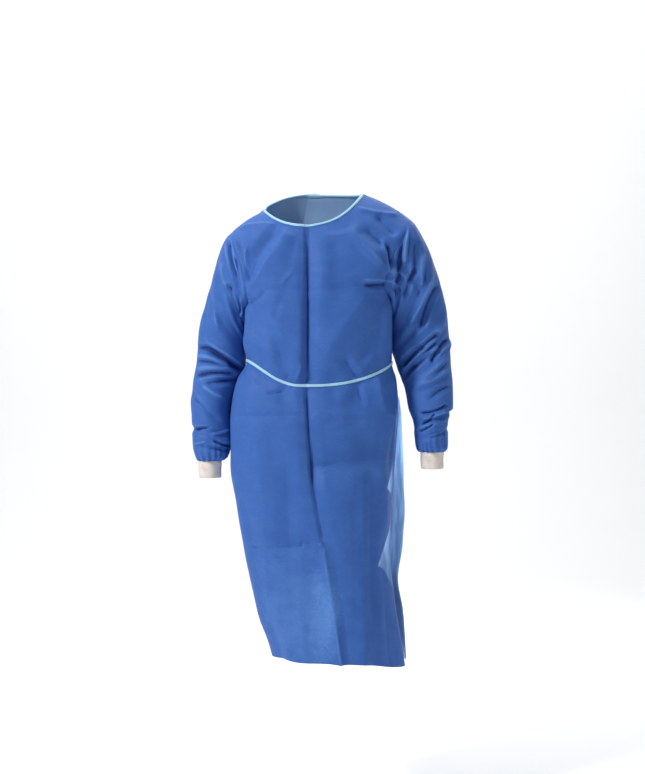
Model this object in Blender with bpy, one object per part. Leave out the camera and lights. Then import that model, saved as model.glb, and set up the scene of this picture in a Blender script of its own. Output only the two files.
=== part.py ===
"""An isolation gown with long sleeves and knit cuffs, filled out as it is worn, and hollow.

X runs across the front, from the gown's right side to its left side as it is worn. The front faces -Y, and
Z is up. The origin is where the shoulders carry it: the middle of the neck opening, level with the shoulder
seams. All sizes are in metres, and all turns in degrees: 0 is the left side, 90 the back and 270 the front.
"""

import bmesh
import bpy
import numpy as np
from mathutils import Matrix

# Cloth, seams and trim
CLOTH_WALL = 0.0018
SEAM_GAP = 0.0003
TAPE_WIDTH = 0.0075
TAPE_WALL = 0.0012
TAPE_LIFT = 0.0006
BINDING_WALL = 0.0010
BINDING_LIFT = 0.0008
CUFF_WALL = 0.0022

# Levels are heights measured along the cloth. Below the shoulder they are close to Z.
HEM_LEVEL = -1.095
BELT_LEVEL = -0.382
ARMPIT_LEVEL = -0.250
SHOULDER_LEVEL = -0.020
NECK_LEVEL = 0.100

# How far round the gown each armhole reaches from the side, in degrees
ARMHOLE_FRONT = 39.0
ARMHOLE_BACK = 38.0
ARMHOLE_STEPS = 11

# Rings round the gown, hem first: X at both sides and at the front crease, Y at front, back and the widest
# line of the sides, Z, and how square the ring is, where 2 is an ellipse
RING_COLUMNS = (
    "level", "x_right", "x_left", "x_crease", "y_front", "y_back", "y_side",
    "z_right", "z_left", "z_front", "z_back", "square",
)
RINGS = (
    (-1.095, -0.101, 0.210, 0.066, -0.158, 0.166, 0.010, -1.076, -1.113, -1.082, -1.092, 2.35),
    (-1.070, -0.108, 0.206, 0.063, -0.158, 0.166, 0.010, -1.052, -1.075, -1.055, -1.066, 2.35),
    (-0.970, -0.136, 0.195, 0.053, -0.156, 0.165, 0.010, -0.970, -0.972, -0.972, -0.970, 2.35),
    (-0.830, -0.167, 0.187, 0.029, -0.152, 0.162, 0.010, -0.830, -0.830, -0.833, -0.830, 2.35),
    (-0.730, -0.184, 0.189, 0.008, -0.149, 0.159, 0.006, -0.730, -0.730, -0.736, -0.728, 2.35),
    (-0.635, -0.198, 0.197, -0.003, -0.146, 0.154, -0.004, -0.635, -0.635, -0.645, -0.630, 2.35),
    (-0.525, -0.198, 0.203, -0.010, -0.144, 0.147, -0.018, -0.525, -0.525, -0.545, -0.518, 2.35),
    (-0.470, -0.192, 0.204, -0.012, -0.143, 0.140, -0.026, -0.470, -0.470, -0.500, -0.460, 2.40),
    (-0.425, -0.180, 0.200, -0.013, -0.139, 0.130, -0.032, -0.425, -0.427, -0.470, -0.413, 2.40),
    (-0.382, -0.158, 0.189, -0.013, -0.131, 0.119, -0.034, -0.382, -0.386, -0.441, -0.372, 2.40),
    (-0.340, -0.163, 0.189, -0.012, -0.139, 0.127, -0.034, -0.338, -0.342, -0.396, -0.332, 2.40),
    (-0.300, -0.160, 0.188, -0.012, -0.142, 0.132, -0.034, -0.304, -0.298, -0.345, -0.295, 2.45),
    (-0.250, -0.158, 0.186, -0.012, -0.142, 0.136, -0.032, -0.262, -0.240, -0.288, -0.250, 2.50),
    (-0.130, -0.192, 0.218, -0.012, -0.139, 0.138, -0.014, -0.160, -0.130, -0.206, -0.152, 2.50),
    (-0.060, -0.206, 0.242, -0.013, -0.134, 0.133, -0.004, -0.080, -0.046, -0.165, -0.097, 2.45),
    (-0.020, -0.186, 0.216, -0.013, -0.129, 0.128, 0.000, -0.062, -0.026, -0.140, -0.066, 2.40),
    (0.040, -0.155, 0.174, -0.016, -0.117, 0.111, 0.006, -0.038, 0.000, -0.101, -0.016, 2.35),
    (0.100, -0.116, 0.118, -0.019, -0.099, 0.086, 0.010, -0.017, 0.024, -0.063, 0.032, 2.35),
)

# Folds round the gown: the turn at the upper and lower end, the two levels, and how far the cloth stands out
# there (a minus sign is a trough), with the half width in degrees.
FOLD_COLUMNS = ("turn", "turn_low", "top", "bottom", "out", "out_low", "half_width")
BODY_FOLDS = (
    (238, 226, 0.050, -0.170, -0.006, -0.004, 12),
    (253, 243, 0.055, -0.200, 0.004, 0.003, 10),
    (292, 312, 0.050, -0.150, 0.004, 0.005, 12),
    (306, 322, 0.030, -0.130, -0.003, -0.005, 10),
    (296, 287, -0.260, -0.420, 0.002, -0.006, 9),
    (234, 246, -0.290, -0.400, 0.004, 0.008, 10),
    (262, 258, -0.310, -0.400, 0.003, 0.007, 9),
    (302, 299, -0.372, -0.540, -0.008, -0.001, 9),
    (250, 256, -0.376, -0.490, -0.007, -0.001, 9),
    (320, 318, -0.390, -0.620, 0.006, 0.002, 12),
    (205, 206, -0.235, -0.375, 0.009, 0.009, 15),
    (335, 334, -0.250, -0.350, 0.009, 0.009, 15),
    (238, 233, -0.640, -1.130, 0.002, 0.008, 15),
    (258, 256, -0.660, -1.130, -0.001, -0.006, 12),
    (290, 286, -0.560, -1.130, 0.001, 0.003, 13),
    (308, 305, -0.520, -1.130, -0.002, -0.005, 13),
    (328, 324, -0.480, -1.130, 0.003, 0.004, 13),
    (204, 208, -0.500, -1.130, 0.003, 0.008, 13),
    (60, 62, -0.060, -0.400, 0.002, -0.006, 11),
    (124, 120, -0.060, -0.400, 0.002, -0.007, 11),
    (144, 148, -0.150, -0.400, -0.002, -0.008, 10),
    (98, 94, -0.384, -0.700, -0.008, -0.003, 10),
    (128, 127, -0.384, -1.130, -0.007, -0.013, 12),
    (151, 151, -0.384, -1.130, 0.003, 0.011, 12),
    (76, 74, -0.384, -1.130, 0.005, 0.013, 13),
    (107, 105, -0.500, -1.130, 0.003, 0.013, 13),
)

# The pressed crease down the front: how far it stands out at each level, and its half width in degrees
CREASE_COLUMNS = ("level", "out")
CREASE = ((-1.095, 0.012), (-0.900, 0.009), (-0.760, 0.000), (-0.600, -0.007), (-0.382, -0.004),
          (-0.250, -0.009), (-0.060, -0.007), (0.100, -0.001))
CREASE_HALF_WIDTH = 8.0

# Creases pressed across the front when it was packed: the level, the two turns, and how far the cloth stands
# out just above the crease, with the half height of the swell
ACROSS_COLUMNS = ("level", "turn_from", "turn_to", "out", "half_height")
ACROSS_CREASES = (
    (-0.205, 284, 330, 0.006, 0.030),
    (-0.215, 226, 266, 0.003, 0.026),
    (-0.620, 274, 330, 0.004, 0.034),
    (-0.820, 215, 300, 0.003, 0.034),
)

# The two back panels overlap. At each level: where the free edge of each lies, how far the outer one stands
# off the one below, and how much further its free edge flares.
LAP_COLUMNS = ("level", "right_edge", "left_edge", "lap", "flare")
LAP = (
    (-1.095, 20, 128, 0.0090, 0.018),
    (-0.998, 21, 128, 0.0085, 0.024),
    (-0.935, 22, 127, 0.0080, 0.019),
    (-0.830, 23, 127, 0.0075, 0.040),
    (-0.745, 25, 126, 0.0070, 0.048),
    (-0.590, 28, 124, 0.0060, 0.038),
    (-0.485, 33, 122, 0.0052, 0.036),
    (-0.425, 38, 121, 0.0048, 0.008),
    (-0.382, 42, 120, 0.0045, 0.000),
    (-0.250, 54, 116, 0.0048, 0.000),
    (-0.100, 68, 109, 0.0050, 0.000),
    (0.000, 77, 103, 0.0052, 0.000),
    (0.100, 83, 97, 0.0056, 0.000),
)
FLARE_SPREAD = 46.0

# Sleeve stations from the armhole to the wrist: how far along, then the outer and the inner line as seen
# from the front, the middle's depth and the half depth.
SLEEVE_COLUMNS = ("along", "outer", "outer_z", "inner", "inner_z", "middle", "half_depth")
RIGHT_SLEEVE = (
    (0.00, -0.186, -0.070, -0.158, -0.262, -0.008, 0.084),
    (0.08, -0.208, -0.088, -0.1660, -0.275, -0.004, 0.086),
    (0.17, -0.228, -0.128, -0.1640, -0.292, 0.008, 0.084),
    (0.27, -0.243, -0.178, -0.1625, -0.312, 0.022, 0.080),
    (0.37, -0.258, -0.228, -0.1625, -0.333, 0.034, 0.076),
    (0.47, -0.273, -0.280, -0.1622, -0.356, 0.036, 0.073),
    (0.56, -0.281, -0.330, -0.1620, -0.380, 0.035, 0.069),
    (0.65, -0.284, -0.382, -0.1735, -0.412, 0.030, 0.065),
    (0.74, -0.292, -0.440, -0.1910, -0.455, 0.020, 0.060),
    (0.83, -0.294, -0.500, -0.2010, -0.505, 0.008, 0.056),
    (0.89, -0.292, -0.545, -0.2015, -0.545, 0.000, 0.052),
    (0.95, -0.288, -0.590, -0.2020, -0.592, -0.008, 0.047),
    (0.985, -0.280, -0.614, -0.2060, -0.611, -0.012, 0.040),
    (1.00, -0.2755, -0.6215, -0.2195, -0.6215, -0.014, 0.028),
)
LEFT_SLEEVE = (
    (0.00, 0.216, -0.026, 0.184, -0.240, -0.008, 0.084),
    (0.08, 0.246, -0.052, 0.1925, -0.255, -0.004, 0.086),
    (0.17, 0.279, -0.112, 0.1895, -0.276, 0.008, 0.085),
    (0.27, 0.303, -0.174, 0.1865, -0.300, 0.020, 0.081),
    (0.37, 0.320, -0.234, 0.1865, -0.325, 0.030, 0.077),
    (0.47, 0.329, -0.292, 0.1895, -0.350, 0.030, 0.073),
    (0.56, 0.333, -0.340, 0.1985, -0.378, 0.026, 0.070),
    (0.65, 0.334, -0.385, 0.2090, -0.412, 0.016, 0.066),
    (0.74, 0.338, -0.440, 0.2220, -0.450, 0.002, 0.062),
    (0.83, 0.337, -0.492, 0.2300, -0.495, -0.014, 0.056),
    (0.89, 0.325, -0.526, 0.2410, -0.528, -0.022, 0.050),
    (0.95, 0.322, -0.566, 0.2440, -0.570, -0.030, 0.046),
    (0.985, 0.320, -0.590, 0.2490, -0.592, -0.035, 0.039),
    (1.00, 0.3125, -0.5990, 0.2565, -0.5990, -0.037, 0.028),
)

# How much the belt flattens the folds that it crosses, and how far above and below it
BELT_PINCH = 0.80
BELT_PINCH_HEIGHT = 0.022

# Folds of a sleeve: how far along, the turn about the arm (0 outside, 90 front, 180 inside, 270 back), how
# far along the fold slants from its middle to its end, its half height along, half spread and depth.
SLEEVE_FOLD_COLUMNS = ("along", "turn", "slant", "half_height", "half_spread", "out")
RIGHT_SLEEVE_FOLDS = (
    (0.14, 120, 0.10, 0.060, 70, -0.010),
    (0.30, 110, 0.14, 0.055, 60, 0.006),
    (0.42, 60, 0.10, 0.060, 75, 0.005),
    (0.60, 95, 0.06, 0.030, 90, -0.009),
    (0.66, 85, -0.02, 0.028, 80, 0.007),
    (0.70, 120, -0.03, 0.024, 70, -0.008),
    (0.78, 320, 0.04, 0.045, 80, 0.005),
    (0.895, 60, 0.01, 0.016, 110, -0.007),
    (0.925, 150, -0.02, 0.018, 100, 0.004),
    (0.950, 110, 0.01, 0.014, 90, -0.006),
    (0.62, 250, -0.05, 0.034, 90, -0.007),
    (0.36, 260, -0.12, 0.055, 70, 0.006),
    (0.910, 270, -0.02, 0.018, 110, -0.006),
)
LEFT_SLEEVE_FOLDS = (
    (0.12, 110, 0.10, 0.060, 70, -0.010),
    (0.28, 70, 0.16, 0.055, 70, 0.006),
    (0.40, 90, 0.14, 0.050, 70, -0.006),
    (0.50, 70, 0.14, 0.045, 75, 0.007),
    (0.61, 110, 0.13, 0.036, 85, -0.010),
    (0.67, 80, 0.12, 0.034, 75, 0.007),
    (0.56, 10, 0.04, 0.030, 60, 0.004),
    (0.865, 40, 0.03, 0.018, 100, -0.008),
    (0.905, 110, 0.03, 0.018, 90, 0.004),
    (0.930, 60, 0.02, 0.015, 90, -0.006),
    (0.62, 250, -0.06, 0.034, 90, -0.007),
    (0.34, 260, -0.12, 0.055, 70, 0.006),
    (0.890, 270, -0.02, 0.018, 110, -0.006),
)
ARMHOLE_EASE = 0.35

# Knit cuffs: height, how much narrower the wrist end is, and the number and depth of the ribs
CUFF_HEIGHT = 0.040
CUFF_TAPER = 0.0012
CUFF_RIBS = 24
CUFF_RIB_DEPTH = 0.0005

# Ties at the back: where the knots are, their size, and the loose ends
KNOT_TURN = 90.0
KNOT_SIZE = (0.0120, 0.0056, 0.0110)
KNOT_GAP = 0.0009
NECK_TAIL = 0.150
WAIST_TAIL = 0.240
TAIL_SPREAD = 0.018
TAIL_STEPS = 21


def rows_of(columns, table):
    """A table as a dictionary of columns, lowest first value first."""
    cells = np.array(sorted(table), float)
    return dict(zip(columns, cells.T))


RING = rows_of(RING_COLUMNS, RINGS)
OVERLAP = rows_of(LAP_COLUMNS, LAP)
PRESSED = rows_of(CREASE_COLUMNS, CREASE)


def smooth(at, xs, ys):
    """A curve through the points (xs, ys) that never overshoots them, at the given places."""
    step = np.diff(xs)
    rise = np.diff(ys) / step
    before, after = rise[:-1], rise[1:]
    same_way = before * after > 0
    mean = np.where(same_way, 2 * before * after / np.where(same_way, before + after, 1), 0)
    slope = np.concatenate([[rise[0]], mean, [rise[-1]]])
    k = np.clip(np.searchsorted(xs, at, side="right") - 1, 0, len(step) - 1)
    t = np.clip((at - xs[k]) / step[k], 0, 1)
    start = (1 + 2 * t) * (1 - t) ** 2 * ys[k] + t * (1 - t) ** 2 * slope[k] * step[k]
    return start + t * t * (3 - 2 * t) * ys[k + 1] + t * t * (t - 1) * slope[k + 1] * step[k]


def ease(t):
    """0 below 0, 1 above 1, and a smooth step between."""
    t = np.clip(t, 0, 1)
    return t * t * (3 - 2 * t)


def swell(t):
    """A soft ridge across a fold: 1 at 0, and 0 from 1 on, on either side."""
    return (1 - np.clip(np.abs(t), 0, 1) ** 2) ** 2


def unit(vectors):
    return vectors / np.maximum(np.linalg.norm(vectors, axis=-1, keepdims=True), 1e-12)


def plain_body(turn, level):
    """The body without folds: rings of four quarter superellipses, which ride up over the shoulders."""
    ring = {name: smooth(level, RING["level"], RING[name]) for name in RING_COLUMNS[1:]}
    angle = np.radians(turn)
    c, s = np.cos(angle), np.sin(angle)
    square = ring["square"]
    reach = (np.abs(c) ** square + np.abs(s) ** square) ** (-1 / square)
    across, deep = reach * c, reach * s
    middle = np.where(s < 0, ring["x_crease"], (ring["x_left"] + ring["x_right"]) / 2)
    half_width = np.where(across > 0, ring["x_left"] - middle, middle - ring["x_right"])
    half_depth = np.where(deep < 0, ring["y_side"] - ring["y_front"], ring["y_back"] - ring["y_side"])
    z_side = np.where(across > 0, ring["z_left"], ring["z_right"])
    z_end = np.where(deep < 0, ring["z_front"], ring["z_back"])
    x = middle + across * half_width
    y = ring["y_side"] + deep * half_depth
    z = z_side + (z_end - z_side) * deep**2
    return np.stack([x, y, z], axis=-1)


def body_normal(surface, turn, level):
    """The outward direction of a surface round the gown, from small steps round it and up it."""
    round_it = surface(turn + 0.4, level) - surface(turn - 0.4, level)
    higher, lower = np.minimum(level + 0.0015, NECK_LEVEL), np.maximum(level - 0.0015, HEM_LEVEL)
    return unit(np.cross(round_it, surface(turn, higher) - surface(turn, lower)))


def body_folds(turn, level):
    """How far folds and pressed creases move the cloth out."""
    out = np.zeros(np.broadcast(turn, level).shape)
    for row in BODY_FOLDS:
        fold = dict(zip(FOLD_COLUMNS, row))
        share = np.clip((fold["top"] - level) / (fold["top"] - fold["bottom"]), 0, 1)
        centre = fold["turn"] + (fold["turn_low"] - fold["turn"]) * share
        depth = fold["out"] + (fold["out_low"] - fold["out"]) * share
        ends = ease((fold["top"] - level) / 0.03 + 0.5) * ease((level - fold["bottom"]) / 0.03 + 0.5)
        out += depth * ends * swell((turn - centre) / fold["half_width"])
    crease = smooth(level, PRESSED["level"], PRESSED["out"])
    out += crease * np.clip(1 - np.abs(turn - 270) / CREASE_HALF_WIDTH, 0, 1) ** 1.4
    for row in ACROSS_CREASES:
        fold = dict(zip(ACROSS_COLUMNS, row))
        above = (level - fold["level"]) / fold["half_height"]
        swollen = np.where(above > 0, ease(above * 3) * (1 - ease(above / 2)), 0)
        ends = ease((turn - fold["turn_from"]) / 9) * ease((fold["turn_to"] - turn) / 9)
        out += fold["out"] * swollen * ends
    return out * (1 - BELT_PINCH * np.exp(-(((level - BELT_LEVEL) / BELT_PINCH_HEIGHT) ** 2)))


def body(turn, level):
    """The outer face of the body with its folds."""
    return plain_body(turn, level) + body_folds(turn, level)[..., None] * body_normal(plain_body, turn, level)


def lap_lift(turn, level):
    """How far the outer back panel stands off the other: a lap, and a flare towards its free edge."""
    lap = smooth(level, OVERLAP["level"], OVERLAP["lap"])
    flare = smooth(level, OVERLAP["level"], OVERLAP["flare"])
    edge = smooth(level, OVERLAP["level"], OVERLAP["right_edge"])
    near_edge = np.clip((edge + FLARE_SPREAD - turn) / FLARE_SPREAD, 0, 1)
    lifted = ease((176 - side_turns(level, ARMHOLE_BACK) - turn) / 24)
    return lap * lifted + flare * near_edge**1.7


def outer_back(turn, level):
    """The outer face of the back panel that laps over the other."""
    return body(turn, level) + lap_lift(turn, level)[..., None] * body_normal(plain_body, turn, level)


def armhole(side, ring_turn):
    """The (turn, level) of points round an armhole. Ring turn 0 is the shoulder, 90 front, 180 armpit."""
    angle = np.radians(ring_turn)
    middle, half = (SHOULDER_LEVEL + ARMPIT_LEVEL) / 2, (SHOULDER_LEVEL - ARMPIT_LEVEL) / 2
    reach = np.where(np.sin(angle) > 0, ARMHOLE_FRONT, ARMHOLE_BACK) * np.sin(angle)
    turn = 180 + reach if side == "right" else np.where(reach > 0, 360 - reach, -reach)
    return turn, middle + half * np.cos(angle)


def sleeve_tables(side):
    stations, folds = (
        (RIGHT_SLEEVE, RIGHT_SLEEVE_FOLDS) if side == "right" else (LEFT_SLEEVE, LEFT_SLEEVE_FOLDS)
    )
    return rows_of(SLEEVE_COLUMNS, stations), [dict(zip(SLEEVE_FOLD_COLUMNS, row)) for row in folds]


def plain_sleeve(side, ring_turn, along):
    """A sleeve without folds: ovals between its outer and inner lines, which start as the armhole."""
    station, _ = sleeve_tables(side)
    outer, outer_z, inner, inner_z, middle, half_depth = (
        smooth(along, station["along"], station[name]) for name in SLEEVE_COLUMNS[1:]
    )
    first = {name: station[name][0] for name in SLEEVE_COLUMNS[1:]}
    c, s = np.cos(np.radians(ring_turn)), np.sin(np.radians(ring_turn))

    def oval(o, oz, i, iz, m, d):
        return np.stack([(o + i) / 2 + (o - i) / 2 * c, m - d * s, (oz + iz) / 2 + (oz - iz) / 2 * c], axis=-1)

    start = oval(*[first[name] + 0 * along for name in SLEEVE_COLUMNS[1:]])
    fade = (1 - np.clip(along / ARMHOLE_EASE, 0, 1)) ** 2
    off_start = (body(*armhole(side, ring_turn)) - start) * fade[..., None]
    return oval(outer, outer_z, inner, inner_z, middle, half_depth) + off_start


def sleeve_folds(side, ring_turn, along):
    out = np.zeros(np.broadcast(ring_turn, along).shape)
    for fold in sleeve_tables(side)[1]:
        away = (ring_turn - fold["turn"] + 180) % 360 - 180
        centre = fold["along"] + fold["slant"] * away / 90
        spread = swell(away / fold["half_spread"])
        out += fold["out"] * spread * swell((along - centre) / fold["half_height"])
    return out * ease(along / 0.06) * ease((1 - along) / 0.03)


def sleeve_normal(side, surface, ring_turn, along):
    """The outward direction of a surface round an arm."""
    sign = -1 if side == "right" else 1
    low, high = np.clip(along - 0.004, 0, 1), np.clip(along + 0.004, 0, 1)
    round_it = surface(side, ring_turn + 1.0, along) - surface(side, ring_turn - 1.0, along)
    down_it = surface(side, ring_turn, high) - surface(side, ring_turn, low)
    return sign * unit(np.cross(round_it, down_it))


def sleeve(side, ring_turn, along):
    """The outer face of a sleeve with its folds."""
    out = sleeve_folds(side, ring_turn, along)[..., None]
    return plain_sleeve(side, ring_turn, along) + out * sleeve_normal(side, plain_sleeve, ring_turn, along)


def mitre(first, second):
    """One direction for two walls that meet at an angle, lengthened so that both keep their thickness."""
    between = unit(first + second)
    cosine = np.clip((between * first).sum(-1, keepdims=True), 0.6, 1)
    return between / cosine


def armhole_mitre(side, ring_turn):
    turn, level = armhole(side, ring_turn)
    on_sleeve = sleeve_normal(side, sleeve, ring_turn, 0 * ring_turn)
    return mitre(body_normal(body, turn, level), on_sleeve)


def trimmed(grid, edges):
    """The grid with the named edges drawn back by half a seam gap, towards their neighbours."""
    grid = grid.copy()
    for edge in edges:
        view = {"low": grid, "high": grid[::-1], "first": grid.swapaxes(0, 1),
                "last": grid.swapaxes(0, 1)[::-1]}[edge]
        view[0] += unit(view[1] - view[0]) * SEAM_GAP / 2
    return grid


def object_from(name, points, faces, material):
    """A closed mesh object with its faces pointing out."""
    mesh = bpy.data.meshes.new(name)
    mesh.from_pydata([tuple(p) for p in points], [], faces)
    shape = bmesh.new()
    shape.from_mesh(mesh)
    bmesh.ops.recalc_face_normals(shape, faces=shape.faces)
    shape.to_mesh(mesh)
    shape.free()
    mesh.shade_smooth()
    mesh.materials.append(material)
    thing = bpy.data.objects.new(name, mesh)
    bpy.context.scene.collection.objects.link(thing)
    return thing


def grid_faces(rows, columns, start, closed):
    """Quads over a grid of points numbered row by row; a closed grid joins its last column to its first."""
    last = columns if closed else columns - 1
    return [
        (start + i * columns + j, start + i * columns + (j + 1) % columns,
         start + (i + 1) * columns + (j + 1) % columns, start + (i + 1) * columns + j)
        for i in range(rows - 1) for j in range(last)
    ]


def rim_loop(rows, columns):
    """The point numbers round the border of an open grid."""
    bottom = [j for j in range(columns)]
    right = [i * columns + columns - 1 for i in range(1, rows)]
    top = [(rows - 1) * columns + j for j in range(columns - 2, -1, -1)]
    left = [i * columns for i in range(rows - 2, 0, -1)]
    return bottom + right + top + left


def wall(name, outer, inner, material, closed=False):
    """A wall of cloth between two grids of points, with its rims."""
    rows, columns = outer.shape[:2]
    count = rows * columns
    faces = grid_faces(rows, columns, 0, closed)
    faces += [face[::-1] for face in grid_faces(rows, columns, count, closed)]
    if closed:
        for start in (0, (rows - 1) * columns):
            ring = [start + j for j in range(columns)]
            faces += [(a, b, b + count, a + count) for a, b in zip(ring, ring[1:] + ring[:1])]
    else:
        ring = rim_loop(rows, columns)
        faces += [(a, b, b + count, a + count) for a, b in zip(ring, ring[1:] + ring[:1])]
    return object_from(name, np.concatenate([outer.reshape(-1, 3), inner.reshape(-1, 3)]), faces, material)


def swept(name, rings, material, closed):
    """A solid through profile rings; a closed one joins its ends, and an open one is capped."""
    count, sides = rings.shape[:2]
    faces = grid_faces(count, sides, 0, True)
    if closed:
        faces += [((count - 1) * sides + j, (count - 1) * sides + (j + 1) % sides, (j + 1) % sides, j)
                  for j in range(sides)]
    else:
        faces += [tuple(range(sides))[::-1], tuple((count - 1) * sides + j for j in range(sides))]
    return object_from(name, rings.reshape(-1, 3), faces, material)


def body_levels():
    """The levels of a panel's rows, hem first: close together at the belt and round the armhole."""
    under_belt, over_belt = BELT_LEVEL - 1.3 * TAPE_WIDTH, BELT_LEVEL + 1.3 * TAPE_WIDTH
    under_binding = NECK_LEVEL - 1.6 * TAPE_WIDTH
    _, beside_armhole = armhole("right", np.linspace(180, 0, ARMHOLE_STEPS + 1))
    return np.concatenate([
        np.linspace(HEM_LEVEL, -0.50, 12)[:-1],
        np.linspace(-0.50, under_belt, 4),
        [BELT_LEVEL],
        np.linspace(over_belt, ARMPIT_LEVEL, 4)[:-1],
        beside_armhole,
        np.linspace(SHOULDER_LEVEL, under_binding, 4)[1:],
        [NECK_LEVEL],
    ])


def side_turns(levels, reach):
    """How far the armhole cuts into a panel's side at each level, in degrees."""
    middle, half = (SHOULDER_LEVEL + ARMPIT_LEVEL) / 2, (SHOULDER_LEVEL - ARMPIT_LEVEL) / 2
    return reach * np.sqrt(np.clip(1 - ((levels - middle) / half) ** 2, 0, 1))


def panel(name, surface, turns, levels, armholes, material):
    """A body panel. Armholes says which of its columns run along which armhole, and on which side of it."""
    turn = turns
    level = np.repeat(levels[:, None], turns.shape[1], axis=1)
    outer = surface(turn, level)
    normal = body_normal(surface, turn, level)
    inside = (levels >= ARMPIT_LEVEL - 1e-9) & (levels <= SHOULDER_LEVEL + 1e-9)
    for column, side, way in armholes:
        ring_turn = np.linspace(180, 0, ARMHOLE_STEPS + 1)
        normal[inside, column] = armhole_mitre(side, ring_turn if way == "front" else 360 - ring_turn)
    inner = outer - CLOTH_WALL * normal
    edges = ("first", "last")
    wall(name, trimmed(outer, edges), trimmed(inner, edges), material)
    return {"turn": turns, "level": levels, "outer": outer, "inner": inner, "normal": normal}


def front_panel(levels, material, columns=11):
    """One panel from side seam to side seam, with a column on the pressed crease."""
    cut = side_turns(levels, ARMHOLE_FRONT)[:, None]
    share = np.linspace(0, 1, columns)[None, :]
    right_half = 180 + 90 * share + cut * (1 - share) ** 2
    left_half = 540 - right_half[:, ::-1]
    return panel("front", body, np.concatenate([right_half, left_half[:, 1:]], axis=1), levels,
                 [(0, "right", "front"), (-1, "left", "front")], material)


def back_turns(levels, beside, shared, beyond):
    """The columns of both back panels, with the same ones in both where they overlap."""
    cut = side_turns(levels, ARMHOLE_BACK)[:, None]
    outer_edge = smooth(levels, OVERLAP["level"], OVERLAP["right_edge"])[:, None]
    under_edge = smooth(levels, OVERLAP["level"], OVERLAP["left_edge"])[:, None]
    both = outer_edge + (under_edge - outer_edge) * np.linspace(0, 1, shared + 1)
    under = cut + (outer_edge - cut) * np.linspace(0, 1, beside + 1)[:-1]
    outer = under_edge + (180 - cut - under_edge) * np.linspace(0, 1, beyond + 1)[1:]
    return np.concatenate([under, both], axis=1), np.concatenate([both, outer], axis=1)


def back_panels(levels, material):
    """The left back, and the right back, which laps over it as far as the left side."""
    under, outer = back_turns(levels, beside=6, shared=10, beyond=10)
    return (panel("back_left", body, under, levels, [(0, "left", "back")], material),
            panel("back_right", outer_back, outer, levels, [(-1, "right", "back")], material))


def sleeve_panel(side, material):
    """A sleeve from its armhole to its cuff, closed round the arm."""
    ring_turn = np.linspace(0, 360, 2 * ARMHOLE_STEPS + 1)[:-1]
    along = np.concatenate([np.linspace(0, 0.80, 14)[:-1], np.linspace(0.80, 0.97, 7), [0.985, 1.0]])
    turns, places = np.meshgrid(ring_turn, along)
    outer = sleeve(side, turns, places)
    normal = sleeve_normal(side, sleeve, turns, places)
    normal[0] = armhole_mitre(side, ring_turn)
    normal[-1] = unit(normal[-1] * (1, 1, 0))
    inner = outer - CLOTH_WALL * normal
    ends = ("low",)
    return wall("sleeve_" + side, trimmed(outer, ends), trimmed(inner, ends), material, closed=True)


def cuff(side, material):
    """A knit tube below the end of a sleeve, with raised ribs over a plain inside."""
    station, _ = sleeve_tables(side)
    end = {name: station[name][-1] for name in SLEEVE_COLUMNS}
    half_width = abs(end["outer"] - end["inner"]) / 2
    centre = np.array([(end["outer"] + end["inner"]) / 2, end["middle"], end["outer_z"] - SEAM_GAP])
    angle = np.radians(np.arange(2 * CUFF_RIBS) * 180 / CUFF_RIBS)[None, :]
    down = np.array([0, 0.10, 0.9, 1.0])[:, None]
    rib = np.where(np.arange(2 * CUFF_RIBS) % 2 == 0, 0, -CUFF_RIB_DEPTH)[None, :]
    narrower = CUFF_TAPER * down

    def ring(inset):
        x = centre[0] + (half_width - narrower - inset) * np.cos(angle)
        y = centre[1] - (end["half_depth"] - narrower - inset) * np.sin(angle)
        z = centre[2] - CUFF_HEIGHT * down + 0 * angle
        return np.stack([x, y, z], axis=-1)

    return wall("cuff_" + side, ring(-rib), ring(CUFF_WALL + 0 * rib), material, closed=True)


def along_row(grid, row, first, last):
    """A panel's columns on one row between two turns, with points at those turns too.

    Each has the cloth's outer and inner point, both again one row below and one row above, and the normal.
    """
    turn = grid["turn"][row]
    below, above = max(row - 1, 0), min(row + 1, len(grid["level"]) - 1)
    columns = [grid[face][r] for r in (row, below, above) for face in ("outer", "inner")] + [grid["normal"][row]]
    wanted = np.concatenate([[first], turn[(turn > first + 0.5) & (turn < last - 0.5)], [last]])
    return np.stack(
        [np.stack([np.interp(wanted, turn, c[:, k]) for k in range(3)], axis=-1) for c in columns], axis=1
    )


def neck_binding(front, back_left, back_right, material):
    """A strip folded over the neck edge, from one free back edge round the front to the other."""
    top = len(front["level"]) - 1
    first, last = back_right["turn"][top][0], back_left["turn"][top][-1]
    along = np.concatenate([
        along_row(back_right, top, first + 0.3, 180),
        along_row(front, top, 180, 360)[1:],
        along_row(back_left, top, 0, last - 0.3)[1:],
    ])
    outer, inner, outer_below, inner_below, _, _, normal = along.swapaxes(0, 1)
    down, down_inside = unit(outer_below - outer), unit(inner_below - inner)
    near, far = BINDING_LIFT, BINDING_LIFT + BINDING_WALL
    rings = np.stack([
        outer + TAPE_WIDTH * down + near * normal, outer + TAPE_WIDTH * down + far * normal,
        outer - far * down + far * normal, inner - far * down_inside - far * normal,
        inner + TAPE_WIDTH * down_inside - far * normal, inner + TAPE_WIDTH * down_inside - near * normal,
        inner - near * down_inside - near * normal, outer - near * down + near * normal,
    ], axis=1)
    return swept("neck_binding", rings, material, closed=False)


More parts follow.
